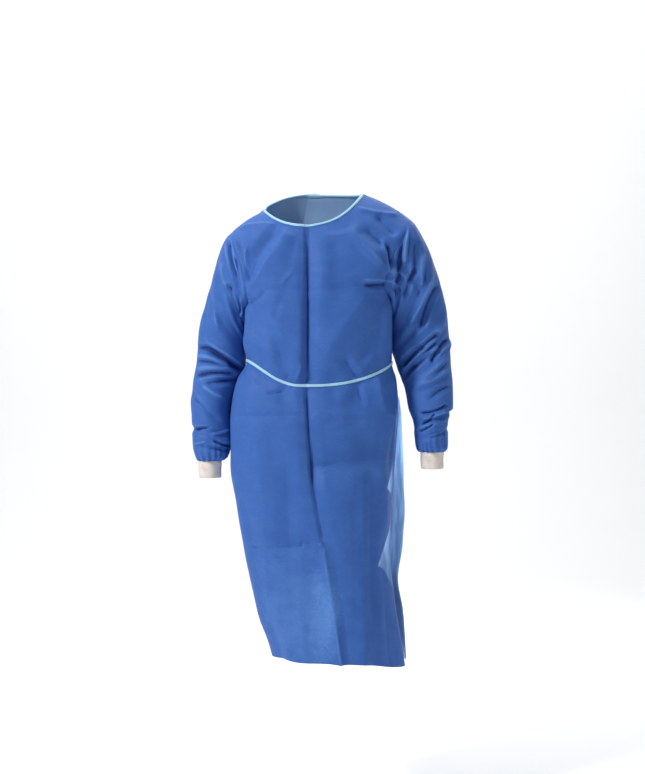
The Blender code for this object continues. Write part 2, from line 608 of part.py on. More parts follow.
def belt(front, back_left, back_right, material):
    """The waist tie: a tape laid on the gown from the knot, round the front and back to the knot."""
    row = int(np.argmin(np.abs(front["level"] - BELT_LEVEL)))
    beside_knot = (KNOT_SIZE[0] / 2 + KNOT_GAP) / metres_per_degree(BELT_LEVEL)
    free_edge = back_right["turn"][row][0]
    last_under = back_left["turn"][row][back_left["turn"][row] < free_edge - 1][-1]
    along = np.concatenate([
        along_row(back_right, row, KNOT_TURN + beside_knot, 180),
        along_row(front, row, 180, 360)[1:],
        along_row(back_left, row, 0, last_under)[1:],
        along_row(back_right, row, free_edge, KNOT_TURN - beside_knot),
    ])
    middle, _, below, _, above, _, normal = along.swapaxes(0, 1)
    inside = [middle + unit(below - middle) * TAPE_WIDTH / 2, middle, middle + unit(above - middle) * TAPE_WIDTH / 2]
    rings = np.stack([p + TAPE_LIFT * normal for p in inside]
                     + [p + (TAPE_LIFT + TAPE_WALL) * normal for p in inside[::-1]], axis=1)
    return swept("belt", rings, material, closed=False)


def metres_per_degree(level):
    """How far a turn of one degree goes across the middle of the back."""
    here = outer_back(np.array([KNOT_TURN - 0.5, KNOT_TURN + 0.5]), np.array([level, level]))
    return float(np.linalg.norm(here[1] - here[0]))


def point_on(grid, turn, level):
    """The point of a panel's outer face at a turn and a level, on its flat facets."""
    row = int(np.clip(np.searchsorted(grid["level"], level) - 1, 0, len(grid["level"]) - 2))
    share = (level - grid["level"][row]) / (grid["level"][row + 1] - grid["level"][row])
    low, high = (
        np.array([np.interp(turn, grid["turn"][r], grid["outer"][r][:, k]) for k in range(3)])
        for r in (row, row + 1)
    )
    return low + (high - low) * share


def knot(prefix, back, level, lift, tail_length, material):
    """A plain knot with its two loose ends, which lie on the back."""
    foot = point_on(back, KNOT_TURN, level)
    normal = body_normal(plain_body, np.array(KNOT_TURN), np.array(level))
    sideways = unit(np.cross(normal, (0, 0, 1)))
    up = np.cross(sideways, normal)
    middle = foot + normal * (lift + KNOT_SIZE[1] / 2)
    axes = Matrix((sideways, normal, up)).transposed().to_4x4()
    rounded_block(prefix + "_knot", Matrix.Translation(middle) @ axes, KNOT_SIZE, material)
    for side, sign in (("left", 1), ("right", -1)):
        tail(f"{prefix}_tail_{side}", back, level, sign, lift, tail_length, material)


def rounded_block(name, place, size, material):
    """A small block with bevelled edges, laid where the matrix puts it."""
    mesh = bpy.data.meshes.new(name)
    shape = bmesh.new()
    bmesh.ops.create_cube(shape, size=1)
    bmesh.ops.scale(shape, vec=size, verts=shape.verts)
    bmesh.ops.bevel(shape, geom=shape.edges, offset=min(size) * 0.3, segments=2, profile=0.5, affect="EDGES")
    bmesh.ops.transform(shape, matrix=place, verts=shape.verts)
    shape.to_mesh(mesh)
    shape.free()
    mesh.shade_smooth()
    mesh.materials.append(material)
    thing = bpy.data.objects.new(name, mesh)
    bpy.context.scene.collection.objects.link(thing)
    return thing


def tail(name, back, level, sign, lift, length, material):
    """A loose end of tape that lies on the back below its knot, towards one side."""
    share = np.linspace(0, 1, TAIL_STEPS)
    half = TAPE_WIDTH / 2 * (0.5 + 0.5 * ease(share / 0.12))
    aside = half[0] + SEAM_GAP + TAIL_SPREAD * share
    turn = KNOT_TURN - sign * aside / metres_per_degree(level)
    places = level - KNOT_SIZE[2] / 2 - 2 * KNOT_GAP - length * share
    outward = body_normal(plain_body, turn, places)
    clear = np.maximum(lift, 0.0010) + 0.0016 * ease(share / 0.1)
    centre = np.array([point_on(back, t, p) for t, p in zip(turn, places)]) + clear[:, None] * outward
    along = unit(np.gradient(centre, axis=0))
    across = unit(np.cross(outward, along)) * half[:, None]
    rings = np.stack([centre - across, centre + across, centre + across + outward * TAPE_WALL,
                      centre - across + outward * TAPE_WALL], axis=1)
    return swept(name, rings, material, closed=False)


def finish(name, colour, roughness):
    """A cloth material of one colour."""
    material = bpy.data.materials.new(name)
    material.use_nodes = True
    shader = material.node_tree.nodes["Principled BSDF"]
    shader.inputs["Base Color"].default_value = (*colour, 1)
    shader.inputs["Roughness"].default_value = roughness
    shader.inputs["Metallic"].default_value = 0
    return material


def build():
    for thing in list(bpy.data.objects):
        bpy.data.objects.remove(thing)
    cloth = finish("nonwoven_cloth", (0.052, 0.137, 0.440), 0.72)
    knit = finish("knit_cuff", (0.80, 0.74, 0.67), 0.90)
    tape = finish("tie_tape", (0.42, 0.68, 0.86), 0.60)
    levels = body_levels()
    front = front_panel(levels, cloth)
    back_left, back_right = back_panels(levels, cloth)
    for side in ("right", "left"):
        sleeve_panel(side, cloth)
        cuff(side, knit)
    neck_binding(front, back_left, back_right, tape)
    belt(front, back_left, back_right, tape)
    knot("waist", back_right, BELT_LEVEL, 2 * TAPE_LIFT, WAIST_TAIL, tape)
    knot("neck", back_right, NECK_LEVEL - KNOT_SIZE[2] / 2, BINDING_WALL + 2 * BINDING_LIFT, NECK_TAIL, tape)


build()
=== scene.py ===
import bpy
import numpy as np
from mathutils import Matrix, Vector


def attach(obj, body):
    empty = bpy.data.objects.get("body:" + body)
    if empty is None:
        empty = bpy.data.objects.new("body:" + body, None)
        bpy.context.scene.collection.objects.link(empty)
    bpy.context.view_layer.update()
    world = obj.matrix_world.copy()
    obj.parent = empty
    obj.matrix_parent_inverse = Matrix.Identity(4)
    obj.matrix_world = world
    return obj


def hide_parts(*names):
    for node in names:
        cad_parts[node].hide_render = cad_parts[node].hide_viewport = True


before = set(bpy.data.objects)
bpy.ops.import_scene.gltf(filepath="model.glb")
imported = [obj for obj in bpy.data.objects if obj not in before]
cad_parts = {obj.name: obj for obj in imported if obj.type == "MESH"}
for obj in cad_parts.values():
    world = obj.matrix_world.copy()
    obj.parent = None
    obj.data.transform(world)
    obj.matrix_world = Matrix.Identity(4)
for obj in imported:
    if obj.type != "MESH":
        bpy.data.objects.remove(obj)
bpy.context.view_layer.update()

# X runs across the front, -Y is the front and Z is up. Sizes are in metres. Turns round the gown are degrees:
# 0 is the left side as worn, 90 the back, 180 the right side and 270 the front.


# Small shared formulas

def easeStep(t):
    # 0 below 0, 1 above 1, and 3t^2 - 2t^3 between
    t = np.clip(t, 0, 1)
    return t * t * (3 - 2 * t)


def swell(t):
    # (1 - t^2)^2: a soft ridge across a fold, 1 at its middle and 0 at its rims
    return (1 - np.clip(np.abs(t), 0, 1) ** 2) ** 2


def unit(v):
    return v / np.maximum(np.linalg.norm(v, axis=-1, keepdims=True), 1e-12)


def curveThrough(at, xs, ys):
    # Hermite curve through the points, each slope the harmonic mean of its neighbours, so it never overshoots
    step = np.diff(xs)
    rise = np.diff(ys) / step
    before, after = rise[:-1], rise[1:]
    sameWay = before * after > 0
    mean = np.where(sameWay, 2 * before * after / np.where(sameWay, before + after, 1), 0)
    slope = np.concatenate([[rise[0]], mean, [rise[-1]]])
    k = np.clip(np.searchsorted(xs, at, side="right") - 1, 0, len(step) - 1)
    t = np.clip((at - xs[k]) / step[k], 0, 1)
    start = (1 + 2 * t) * (1 - t) ** 2 * ys[k] + t * (1 - t) ** 2 * slope[k] * step[k]
    return start + t * t * (3 - 2 * t) * ys[k + 1] + t * t * (t - 1) * slope[k + 1] * step[k]


def metres(rows, plain=()):
    # a table drawn in millimetres, in metres but for the plain columns, which are turns or shares
    return [tuple(value if k in plain else value / 1000 for k, value in enumerate(row)) for row in rows]


def columnsOf(names, rows):
    # a table as one array for each named column, lowest first value first
    return dict(zip(names, np.array(sorted(rows), float).T))


def softWaves(x, z, seed, count, longest, shortest):
    # sum of plane sine waves of random direction, length and phase, within about -1 to 1
    draw = np.random.default_rng(seed)
    total = np.zeros(np.broadcast(x, z).shape)
    for heading, length, phase in zip(
        draw.uniform(0, np.pi, count), draw.uniform(shortest, longest, count), draw.uniform(0, 6.28, count)
    ):
        total += np.sin((x * np.cos(heading) + z * np.sin(heading)) * 2 * np.pi / length + phase)
    return total / np.sqrt(count * 2)


# Creases drawn on the front or the back, in millimetres. A row runs from (x0, z0) to (x1, z1) and
# bows sideways by bow. It falls off over left and right, the widths on either side of its direction. depth is
# out of the cloth, so a minus sign is a trough. sharp goes from 0, rounded, to 1, pressed, and fade is how
# fast its ends die.
creaseColumns = ("x0", "z0", "x1", "z1", "bow", "left", "right", "depth", "sharp", "fade")


def creasesOut(x, z, rows):
    # sum over the rows of depth * profile(distance to the line / width) * fades at both ends
    out = np.zeros(np.broadcast(x, z).shape)
    for row in metres(rows, [creaseColumns.index("sharp")]):
        c = dict(zip(creaseColumns, row))
        runX, runZ = c["x1"] - c["x0"], c["z1"] - c["z0"]
        length = np.hypot(runX, runZ)
        along = ((x - c["x0"]) * runX + (z - c["z0"]) * runZ) / length
        aside = ((x - c["x0"]) * runZ - (z - c["z0"]) * runX) / length
        share = np.clip(along / length, 0, 1)
        aside = aside - 4 * c["bow"] * share * (1 - share)
        far = np.clip(np.abs(aside) / np.where(aside > 0, c["right"], c["left"]), 0, 1)
        profile = (1 - c["sharp"]) * (1 - far**2) ** 2 + c["sharp"] * (1 - far) ** 1.5
        ends = easeStep(along / c["fade"] + 0.5) * easeStep((length - along) / c["fade"] + 0.5)
        out += c["depth"] * profile * ends
    return out


# Mesh makers

def markPoints(thing, name, values):
    # a number for each vertex, which a material reads by its name
    layer = thing.data.attributes.new(name, "FLOAT", "POINT")
    layer.data.foreach_set("value", np.asarray(values, np.float32).ravel())


def reliefOf(points, normals, step, closed):
    # how far each point stands out from the mean of its neighbours a few rows and columns away, in metres
    rows, columns = points.shape[:2]
    padded = np.pad(points, ((0, 0), (step, step), (0, 0)), "wrap" if closed else "edge")
    padded = np.pad(padded, ((step, step), (0, 0), (0, 0)), "edge")
    around = sum(
        padded[step + down:step + down + rows, step + aside:step + aside + columns]
        for down, aside in ((-step, 0), (step, 0), (0, -step), (0, step))
    ) / 4
    return np.sum((points - around) * normals, axis=-1)


def meshObject(name, points, faces, uvs, materials, slots=None):
    # a smooth mesh from point rows and face rows, with the map "clothMap" given corner by corner
    mesh = bpy.data.meshes.new(name)
    mesh.from_pydata(points, [], faces)
    mesh.polygons.foreach_set("use_smooth", np.ones(len(mesh.polygons), bool))
    if slots is not None:
        mesh.polygons.foreach_set("material_index", np.asarray(slots, np.int32))
    layer = mesh.uv_layers.new(name="clothMap")
    layer.data.foreach_set("uv", np.asarray(uvs, np.float32).ravel())
    mesh.update()
    thing = bpy.data.objects.new(name, mesh)
    bpy.context.scene.collection.objects.link(thing)
    for material in materials:
        mesh.materials.append(material)
    return thing


def gridQuads(index):
    # the four corners of each cell of a grid of point numbers
    return np.stack([index[:-1, :-1], index[:-1, 1:], index[1:, 1:], index[1:, :-1]], axis=-1).reshape(-1, 4)


def clothWall(name, outer, inner, normal, uv, closed, materials):
    # a thin wall: the outer grid, the inner grid turned round, and a rim that joins their borders
    rows, columns = outer.shape[:2]
    count = rows * columns
    index = np.arange(count).reshape(rows, columns)
    if closed:
        index = np.concatenate([index, index[:, :1]], axis=1)
    last = index.shape[1] - 1
    quads = gridQuads(index)
    mapIndex = np.arange(rows * (last + 1)).reshape(rows, last + 1)
    mapQuads = gridQuads(mapIndex)
    if closed:
        borders = [(index[0], mapIndex[0]), (index[-1][::-1], mapIndex[-1][::-1])]
    else:
        loops = [np.concatenate([g[0], g[1:, last], g[-1, last - 1::-1], g[-2::-1, 0]])
                 for g in (index, mapIndex)]
        borders = [tuple(loops)]
    rims = np.concatenate([
        np.stack([b[1:], b[:-1], b[:-1] + count, b[1:] + count], axis=-1) for b, _ in borders])
    mapRims = np.concatenate([np.stack([m[1:], m[:-1], m[:-1], m[1:]], axis=-1) for _, m in borders])
    faces = np.concatenate([quads, quads[:, ::-1] + count, rims])
    corners = np.concatenate([mapQuads, mapQuads[:, ::-1], mapRims])
    slots = np.repeat([0, 1, 0], [len(quads), len(quads), len(rims)])
    a, b, c = (outer.reshape(-1, 3)[quads[:, k]] for k in (0, 1, 2))
    facing = np.cross(b - a, c - a)
    if (facing * normal.reshape(-1, 3)[quads[:, 0]]).sum() < 0:
        faces, corners = faces[:, ::-1], corners[:, ::-1]
    points = np.concatenate([outer.reshape(-1, 3), inner.reshape(-1, 3)])
    return meshObject(name, points, faces, uv.reshape(-1, 2)[corners], materials, slots)


def sweptBand(name, rings, uv, materials):
    # a capped solid through profile rings, each joined to the next and closed round its profile
    count, sides = rings.shape[:2]
    index = np.arange(count * sides).reshape(count, sides)
    index = np.concatenate([index, index[:, :1]], axis=1)
    mapIndex = np.arange(count * (sides + 1)).reshape(count, sides + 1)
    faces, corners = gridQuads(index), gridQuads(mapIndex)
    caps = [index[0, :sides][::-1], index[-1, :sides]]
    mapCaps = [mapIndex[0, :sides][::-1], mapIndex[-1, :sides]]
    points = rings.reshape(-1, 3)
    centres = rings.mean(axis=1).repeat(sides, axis=0)
    a, b, c = (points[faces[:, k]] for k in (0, 1, 2))
    if (np.cross(b - a, c - a) * (a - centres[faces[:, 0]])).sum() < 0:
        faces, corners = faces[:, ::-1], corners[:, ::-1]
        caps, mapCaps = [f[::-1] for f in caps], [f[::-1] for f in mapCaps]
    allFaces = [tuple(f) for f in faces.tolist()] + [tuple(f.tolist()) for f in caps]
    flatMap = uv.reshape(-1, 2)
    uvs = np.concatenate([flatMap[corners].reshape(-1, 2)] + [flatMap[m] for m in mapCaps])
    return meshObject(name, points, allFaces, uvs, materials)


# The gown's form: rings round it, which the CAD solids share

gown = {
    "hem": -1.095, "belt": -0.382, "armpit": -0.250, "shoulder": -0.020, "neck": 0.100,
    "armholeFront": 39.0, "armholeBack": 38.0, "wall": 0.0010, "creaseGain": 1.8, "creaseMost": 0.014,
    "creaseHalfWidth": 8.0, "grooveHalfWidth": 1.6, "grooveDepth": 0.0012, "flareSpread": 46.0,
    "beltPinch": 0.80, "beltRise": 0.015, "beltPinchHeight": 0.022, "beltFlatten": 0.7,
    "beltFlattenHeight": 0.008,
    "cornerTop": -0.98, "cornerDrop": 0.009, "seamDip": 0.0013, "seamWidth": 0.0045, "seed": 11,
}
armholeMiddle = (gown["shoulder"] + gown["armpit"]) / 2
armholeHalf = (gown["shoulder"] - gown["armpit"]) / 2

# Rings round the gown from the hem up, in millimetres. square is the power of the superellipse
ringColumns = (
    "level", "xRight", "xLeft", "xCrease", "yFront", "yBack", "ySide", "zRight", "zLeft", "zFront", "zBack",
    "square",
)
ring = columnsOf(ringColumns, metres((
    (-1095, -101, 210, 66, -158, 166, 10, -1076, -1113, -1082, -1092, 2.35),
    (-1070, -108, 206, 63, -158, 166, 10, -1052, -1075, -1055, -1066, 2.35),
    (-970, -136, 195, 53, -156, 165, 10, -970, -972, -972, -970, 2.35),
    (-830, -167, 187, 29, -152, 162, 10, -830, -830, -833, -830, 2.35),
    (-730, -184, 189, 8, -149, 159, 6, -730, -730, -736, -728, 2.35),
    (-635, -198, 197, -3, -146, 154, -4, -635, -635, -645, -630, 2.35),
    (-525, -198, 203, -10, -144, 147, -18, -525, -525, -545, -518, 2.35),
    (-470, -192, 204, -12, -143, 140, -26, -470, -470, -500, -460, 2.4),
    (-425, -180, 200, -13, -139, 130, -32, -425, -427, -470, -413, 2.4),
    (-382, -158, 189, -13, -131, 119, -34, -382, -386, -441, -372, 2.4),
    (-340, -163, 189, -12, -139, 127, -34, -338, -342, -396, -332, 2.4),
    (-300, -160, 188, -12, -142, 132, -34, -304, -298, -345, -295, 2.45),
    (-250, -158, 186, -12, -142, 136, -32, -262, -240, -288, -250, 2.5),
    (-130, -192, 218, -12, -139, 138, -14, -160, -130, -206, -152, 2.5),
    (-60, -206, 242, -13, -134, 133, -4, -80, -46, -165, -97, 2.45),
    (-20, -186, 216, -13, -129, 128, 0, -62, -26, -140, -66, 2.4),
    (40, -155, 174, -16, -117, 111, 6, -38, 0, -101, -16, 2.35),
    (100, -116, 118, -19, -99, 86, 10, -17, 24, -63, 32, 2.35),
), [11]))

# Large folds: turns and levels of both ends, then how far they stand out at both ends, in millimetres, and the
# half width in degrees. All but the one from 340 to 344 are in the CAD solids too
foldColumns = ("turn", "turnLow", "top", "bottom", "out", "outLow", "halfWidth")
largeFolds = (
    (238, 226, 50, -170, -6, -4, 12),
    (253, 243, 55, -200, 4, 3, 10),
    (292, 312, 50, -150, 4, 5, 12),
    (306, 322, 30, -130, -3, -5, 10),
    (296, 287, -260, -420, 2, -6, 9),
    (234, 246, -290, -400, 4, 8, 10),
    (262, 258, -310, -400, 3, 7, 9),
    (302, 299, -372, -540, -8, -1, 9),
    (250, 256, -376, -490, -7, -1, 9),
    (320, 318, -390, -620, 6, 2, 12),
    (205, 206, -235, -375, 9, 9, 15),
    (335, 334, -250, -350, 9, 9, 15),
    (238, 233, -640, -1130, 2, 8, 15),
    (258, 256, -660, -1130, -1, -6, 12),
    (290, 286, -560, -1130, 1, 3, 13),
    (308, 305, -520, -1130, -2, -5, 13),
    (328, 324, -480, -1130, 3, 4, 13),
    (340, 344, -840, -1130, 1, 15, 17),
    (204, 208, -500, -1130, 3, 8, 13),
    (60, 62, -60, -400, 2, -6, 11),
    (124, 120, -60, -400, 2, -7, 11),
    (144, 148, -150, -400, -2, -8, 10),
    (98, 94, -384, -700, -8, -3, 10),
    (128, 127, -384, -1130, -7, -13, 12),
    (151, 151, -384, -1130, 3, 11, 12),
    (76, 74, -384, -1130, 5, 13, 13),
    (107, 105, -500, -1130, 3, 13, 13),
)
# The front centre crease, and how the backs lap: the free edges' turns, the lap's lift and its edge's flare
pressed = columnsOf(("level", "out"), metres((
    (-1095, 12), (-900, 9), (-760, 0), (-600, -7), (-382, -4),
    (-250, -9), (-60, -7), (100, -1),
)))
lap = columnsOf(("level", "rightEdge", "leftEdge", "lap", "flare"), metres((
    (-1095, 20, 128, 9, 18),
    (-998, 21, 128, 8.5, 24),
    (-935, 22, 127, 8, 19),
    (-830, 23, 127, 7.5, 40),
    (-745, 25, 126, 7, 48),
    (-590, 28, 124, 6, 38),
    (-485, 33, 122, 5.2, 36),
    (-425, 38, 121, 4.8, 8),
    (-382, 42, 120, 4.5, 0),
    (-250, 54, 116, 4.8, 0),
    (-100, 68, 109, 5, 0),
    (0, 77, 103, 5.2, 0),
    (100, 83, 97, 5.6, 0),
), [1, 2]))

frontCreases = (
    # pressed when it was packed: across the skirt, then across the chest
    (-4, -622, 196, -624, 0, 112, 55, -8.5, 0.95, 14),
    (-190, -510, -10, -507, 1, 12, 20, -2, 1, 40),
    (-10, -507, 193, -508, -1, 14, 30, 2.2, 1, 30),
    (-150, -820, 31, -805, 0, 12, 20, -2.2, 1, 40),
    (-26, -810, 22, -804, 0, 4, 16, 2.6, 1, 6),
    (-26, -792, -25, -812, 0, 6, 3, -1.6, 1, 6),
    (84, -799, 118, -800, 0, 5, 6, 1.2, 1, 10),
    (82, -811, 122, -812, 0, 4, 6, 1, 1, 10),
    (43, -214, 184, -203, 0, 28, 45, -3, 1, 30),
    (126, -207, 186, -203, 1, 8, 11, -4.2, 0.7, 16),
    (120, -199, 184, -195, 0, 14, 6, 2.6, 0.9, 15),
    (-118, -217, -16, -219, 0, 12, 14, -1.3, 1, 30),
    # the centre crease, steep on its right side and shallow on its left
    (-10, -66, -10, -240, 0, 34, 13, -4, 1, 40),
    (-10, -240, -14, -445, 0, 40, 15, -5.2, 1, 30),
    (-15, -448, -6, -630, 0, 30, 9, -3.4, 1, 40),
    (-6, -630, 24, -804, 0, 28, 9, -3.4, 1, 40),
    (24, -804, 66, -1085, 3, 10, 12, 2.4, 1, 40),
    # the chest, from the neckline down
    (-84, -70, -150, -190, 6, 22, 24, -3.4, 0.6, 30),
    (-58, -78, -156, -232, 4, 34, 30, 3.4, 0.95, 30),
    (-46, -177, -70, -204, 1, 8, 12, 1.4, 0.9, 15),
    (30, -78, 34, -190, 0, 26, 40, 2, 0.7, 40),
    (90, -78, 178, -172, 4, 34, 20, 4.2, 0.95, 30),
    (128, -74, 188, -120, 2, 18, 20, -3, 0.7, 20),
    (120, -235, 30, -372, 4, 60, 50, 4, 0.95, 40),
    (160, -300, 120, -390, 4, 30, 30, -2.6, 0.9, 40),
    (-130, -236, -66, -330, -4, 34, 28, 2.6, 0.9, 40),
    (-72, -240, -88, -290, 2, 14, 14, -0.8, 0.9, 30),
    (-150, -250, -112, -224, 2, 10, 14, -2, 0.9, 15),
    (-152, -330, -78, -372, 2, 20, 22, 2.4, 0.9, 30),
    # above and below the waist tie
    (76, -380, 114, -436, 2, 18, 26, -4, 0.9, 30),
    (98, -424, 142, -372, 1, 20, 34, 1.8, 0.9, 30),
    (-40, -432, -26, -392, 0, 8, 10, 1.6, 0.9, 15),
    (-62, -428, -56, -410, 0, 6, 7, -1.2, 0.85, 12),
    (-28, -442, -18, -400, 0, 8, 10, -1.6, 0.85, 20),
    (-106, -457, -58, -446, 4, 7, 9, -2.2, 0.95, 14),
    (-70, -452, -50, -441, 1, 6, 6, 1.6, 0.95, 10),
    (-124, -412, -119, -434, 0, 8, 9, -1.2, 0.85, 14),
    (-146, -390, -135, -440, 2, 12, 14, 1.4, 0.75, 20),
    (108, -444, 118, -480, 1, 10, 50, -4.2, 1, 30),
    (60, -446, 66, -490, 0, 14, 14, 0.9, 0.95, 20),
    (18, -448, 14, -500, 0, 12, 16, -0.8, 0.95, 20),
    (150, -420, 168, -500, 2, 14, 14, 2, 0.9, 20),
    # long soft folds of the skirt
    (143, -660, 148, -960, 2, 34, 28, -5.5, 0.7, 60),
    (118, -700, 120, -1090, -3, 26, 26, 3, 0.65, 80),
    (168, -800, 182, -1100, 2, 20, 20, -5, 0.7, 60),
    (-130, -560, -96, -1000, -4, 36, 40, 3.5, 0.55, 90),
    (-60, -620, -40, -1090, 3, 30, 32, -2.5, 0.55, 90),
    # shoulders
    (-170, -64, -94, -62, -3, 10, 14, 2.8, 0.95, 20),
    (110, -22, 196, -34, 2, 8, 12, 2.6, 0.95, 20),
    (156, -40, 194, -84, 2, 20, 22, -4.2, 0.8, 20),
    (166, -96, 184, -190, 3, 22, 10, 3.6, 0.9, 20),
    (178, -110, 192, -200, 0, 10, 12, -4, 0.75, 20),
    (-156, -120, -158, -215, 3, 10, 14, 3, 0.75, 20),
    (-176, -100, -150, -200, 0, 8, 10, -4, 0.75, 20),
)

backCreases = (
    (-110, -60, -40, -180, 4, 30, 26, -4.5, 0.65, 40),
    (100, -50, 60, -190, -3, 26, 30, 4, 0.7, 40),
    (-150, -150, -60, -240, 5, 24, 26, 4.5, 0.75, 30),
    (150, -140, 80, -260, 4, 22, 26, -4, 0.75, 30),
    (-190, -216, 180, -210, 0, 20, 26, -1.4, 1, 30),
    (-190, -508, 180, -509, 0, 18, 30, 1.8, 1, 30),
    (-190, -800, 170, -806, 0, 16, 20, -1.2, 1, 30),
    (-90, -250, -130, -370, 3, 18, 16, 4, 0.75, 30),
    (30, -240, 60, -360, -3, 20, 20, 3.5, 0.75, 30),
    (-44, -290, -26, -372, 3, 16, 20, -2, 0.85, 40),
    (110, -300, 92, -376, -3, 16, 20, -2, 0.85, 40),
    (-112, -372, -98, -460, 3, 14, 22, -2.4, 0.85, 40),
    (-60, -374, -50, -470, 2, 16, 14, 2.4, 0.75, 40),
    (60, -374, 74, -470, 3, 14, 22, -2.2, 0.85, 40),
    (126, -380, 142, -490, 3, 16, 16, 2.6, 0.75, 40),
    (-130, -560, -100, -1000, 5, 30, 34, -4, 0.6, 80),
    (20, -520, 34, -900, -4, 26, 30, 3.5, 0.6, 80),
    (110, -600, 120, -1050, 4, 26, 26, -3.5, 0.6, 80),
)


def creasedOut(points, normals, front, back, gain, seed):
    # gain * the front rows where the cloth faces forward and the back rows where it faces back, levelled off by
    # most * tanh(sum / most), and soft waves all over
    facing = easeStep((0.10 - normals[..., 1]) / 0.45)
    away = easeStep(normals[..., 1] / 0.45)
    x, z = points[..., 0], points[..., 2]
    waves = softWaves(x + 0.7 * points[..., 1], z, seed, 10, 0.16, 0.05)
    drawn = gain * (facing * creasesOut(x, z, front) + away * creasesOut(x, z, back))
    return gown["creaseMost"] * np.tanh(drawn / gown["creaseMost"]) + 0.0008 * waves


def plainGown(turn, level):
    # superellipse |c|^n + |s|^n = 1 round a middle line, with its own half width on each side, and a ring that
    # drops from the sides to the front and back by the square of its depth
    at = {name: curveThrough(level, ring["level"], ring[name]) for name in ringColumns[1:]}
    c, s = np.cos(np.radians(turn)), np.sin(np.radians(turn))
    reach = (np.abs(c) ** at["square"] + np.abs(s) ** at["square"]) ** (-1 / at["square"])
    across, deep = reach * c, reach * s
    middle = np.where(s < 0, at["xCrease"], (at["xLeft"] + at["xRight"]) / 2)
    halfWidth = np.where(across > 0, at["xLeft"] - middle, middle - at["xRight"])
    halfDepth = np.where(deep < 0, at["ySide"] - at["yFront"], at["yBack"] - at["ySide"])
    zSide = np.where(across > 0, at["zLeft"], at["zRight"])
    zEnd = np.where(deep < 0, at["zFront"], at["zBack"])
    return np.stack(
        [middle + across * halfWidth, at["ySide"] + deep * halfDepth, zSide + (zEnd - zSide) * deep**2], axis=-1
    )


def gownNormal(surface, turn, level):
    # cross product of small steps round and up the surface
    roundStep = surface(turn + 0.4, level) - surface(turn - 0.4, level)
    higher, lower = np.minimum(level + 0.0015, gown["neck"]), np.maximum(level - 0.0015, gown["hem"])
    return unit(np.cross(roundStep, surface(turn, higher) - surface(turn, lower)))


def beltLevel(turn):
    # the waist tie's level, which rises by 0.015 * (1 - t^2)^2 on the right side of the front
    return gown["belt"] + gown["beltRise"] * swell((turn - 221) / 40)


def largeOut(turn, level):
    # the sum of large folds, each a swell round a line from its upper to its lower turn, and the pressed centre
    out = np.zeros(np.broadcast(turn, level).shape)
    for row in metres(largeFolds, [0, 1, 6]):
        fold = dict(zip(foldColumns, row))
        share = np.clip((fold["top"] - level) / (fold["top"] - fold["bottom"]), 0, 1)
        centre = fold["turn"] + (fold["turnLow"] - fold["turn"]) * share
        depth = fold["out"] + (fold["outLow"] - fold["out"]) * share
        ends = easeStep((fold["top"] - level) / 0.03 + 0.5) * easeStep((level - fold["bottom"]) / 0.03 + 0.5)
        out += depth * ends * swell((turn - centre) / fold["halfWidth"])
    away = np.abs(turn - 270)
    press = curveThrough(level, pressed["level"], pressed["out"])
    out += press * np.clip(1 - away / gown["creaseHalfWidth"], 0, 1) ** 1.4
    out -= gown["grooveDepth"] * np.clip(1 - away / gown["grooveHalfWidth"], 0, 1)
    away = (level - beltLevel(turn)) / gown["beltPinchHeight"]
    return out * (1 - gown["beltPinch"] * np.exp(-(away**2)))


def gownSurface(turn, level):
    # plain form + (large folds + creases) * normal
    points = plainGown(turn, level)
    normals = gownNormal(plainGown, turn, level)
    fromBelt = (level - beltLevel(turn)) / gown["beltFlattenHeight"]
    flatten = 1 - gown["beltFlatten"] * np.exp(-(fromBelt**2))
    creases = creasedOut(points, normals, frontCreases, backCreases, gown["creaseGain"], gown["seed"])
    return points + (largeOut(turn, level) + flatten * creases)[..., None] * normals


def outerBack(turn, level):
    # the gown's surface, lifted by the lap and by a flare that grows to the panel's free edge, where the corner
    # at the hem also drops
    at = {name: curveThrough(level, lap["level"], lap[name]) for name in ("rightEdge", "lap", "flare")}
    nearEdge = np.clip((at["rightEdge"] + gown["flareSpread"] - turn) / gown["flareSpread"], 0, 1)
    lifted = easeStep((176 - armholeCut(level, gown["armholeBack"]) - turn) / 24)
    lift = at["lap"] * lifted + at["flare"] * nearEdge**1.7
    corner = nearEdge * easeStep((gown["cornerTop"] - level) / (gown["cornerTop"] - gown["hem"]))
    drop = corner[..., None] * np.array([0.0, 0.0, gown["cornerDrop"]])
    return gownSurface(turn, level) + lift[..., None] * gownNormal(plainGown, turn, level) - drop


def armholeCut(level, reach):
    # how far the armhole's ellipse cuts into a panel at this level: reach * sqrt(1 - h^2)
    return reach * np.sqrt(np.clip(1 - ((level - armholeMiddle) / armholeHalf) ** 2, 0, 1))


def armhole(side, ringTurn):
    # the ellipse in turn and level that body and sleeve share; ring turn 0 is the shoulder and 180 the armpit
    angle = np.radians(ringTurn)
    reach = np.where(np.sin(angle) > 0, gown["armholeFront"], gown["armholeBack"]) * np.sin(angle)
    turn = 180 + reach if side == "right" else np.where(reach > 0, 360 - reach, -reach)
    return turn, armholeMiddle + armholeHalf * np.cos(angle)


# Sleeves

sleeveColumns = ("along", "outer", "outerZ", "inner", "innerZ", "middle", "halfDepth")
sleeveFoldColumns = ("along", "turn", "slant", "halfHeight", "halfSpread", "out")
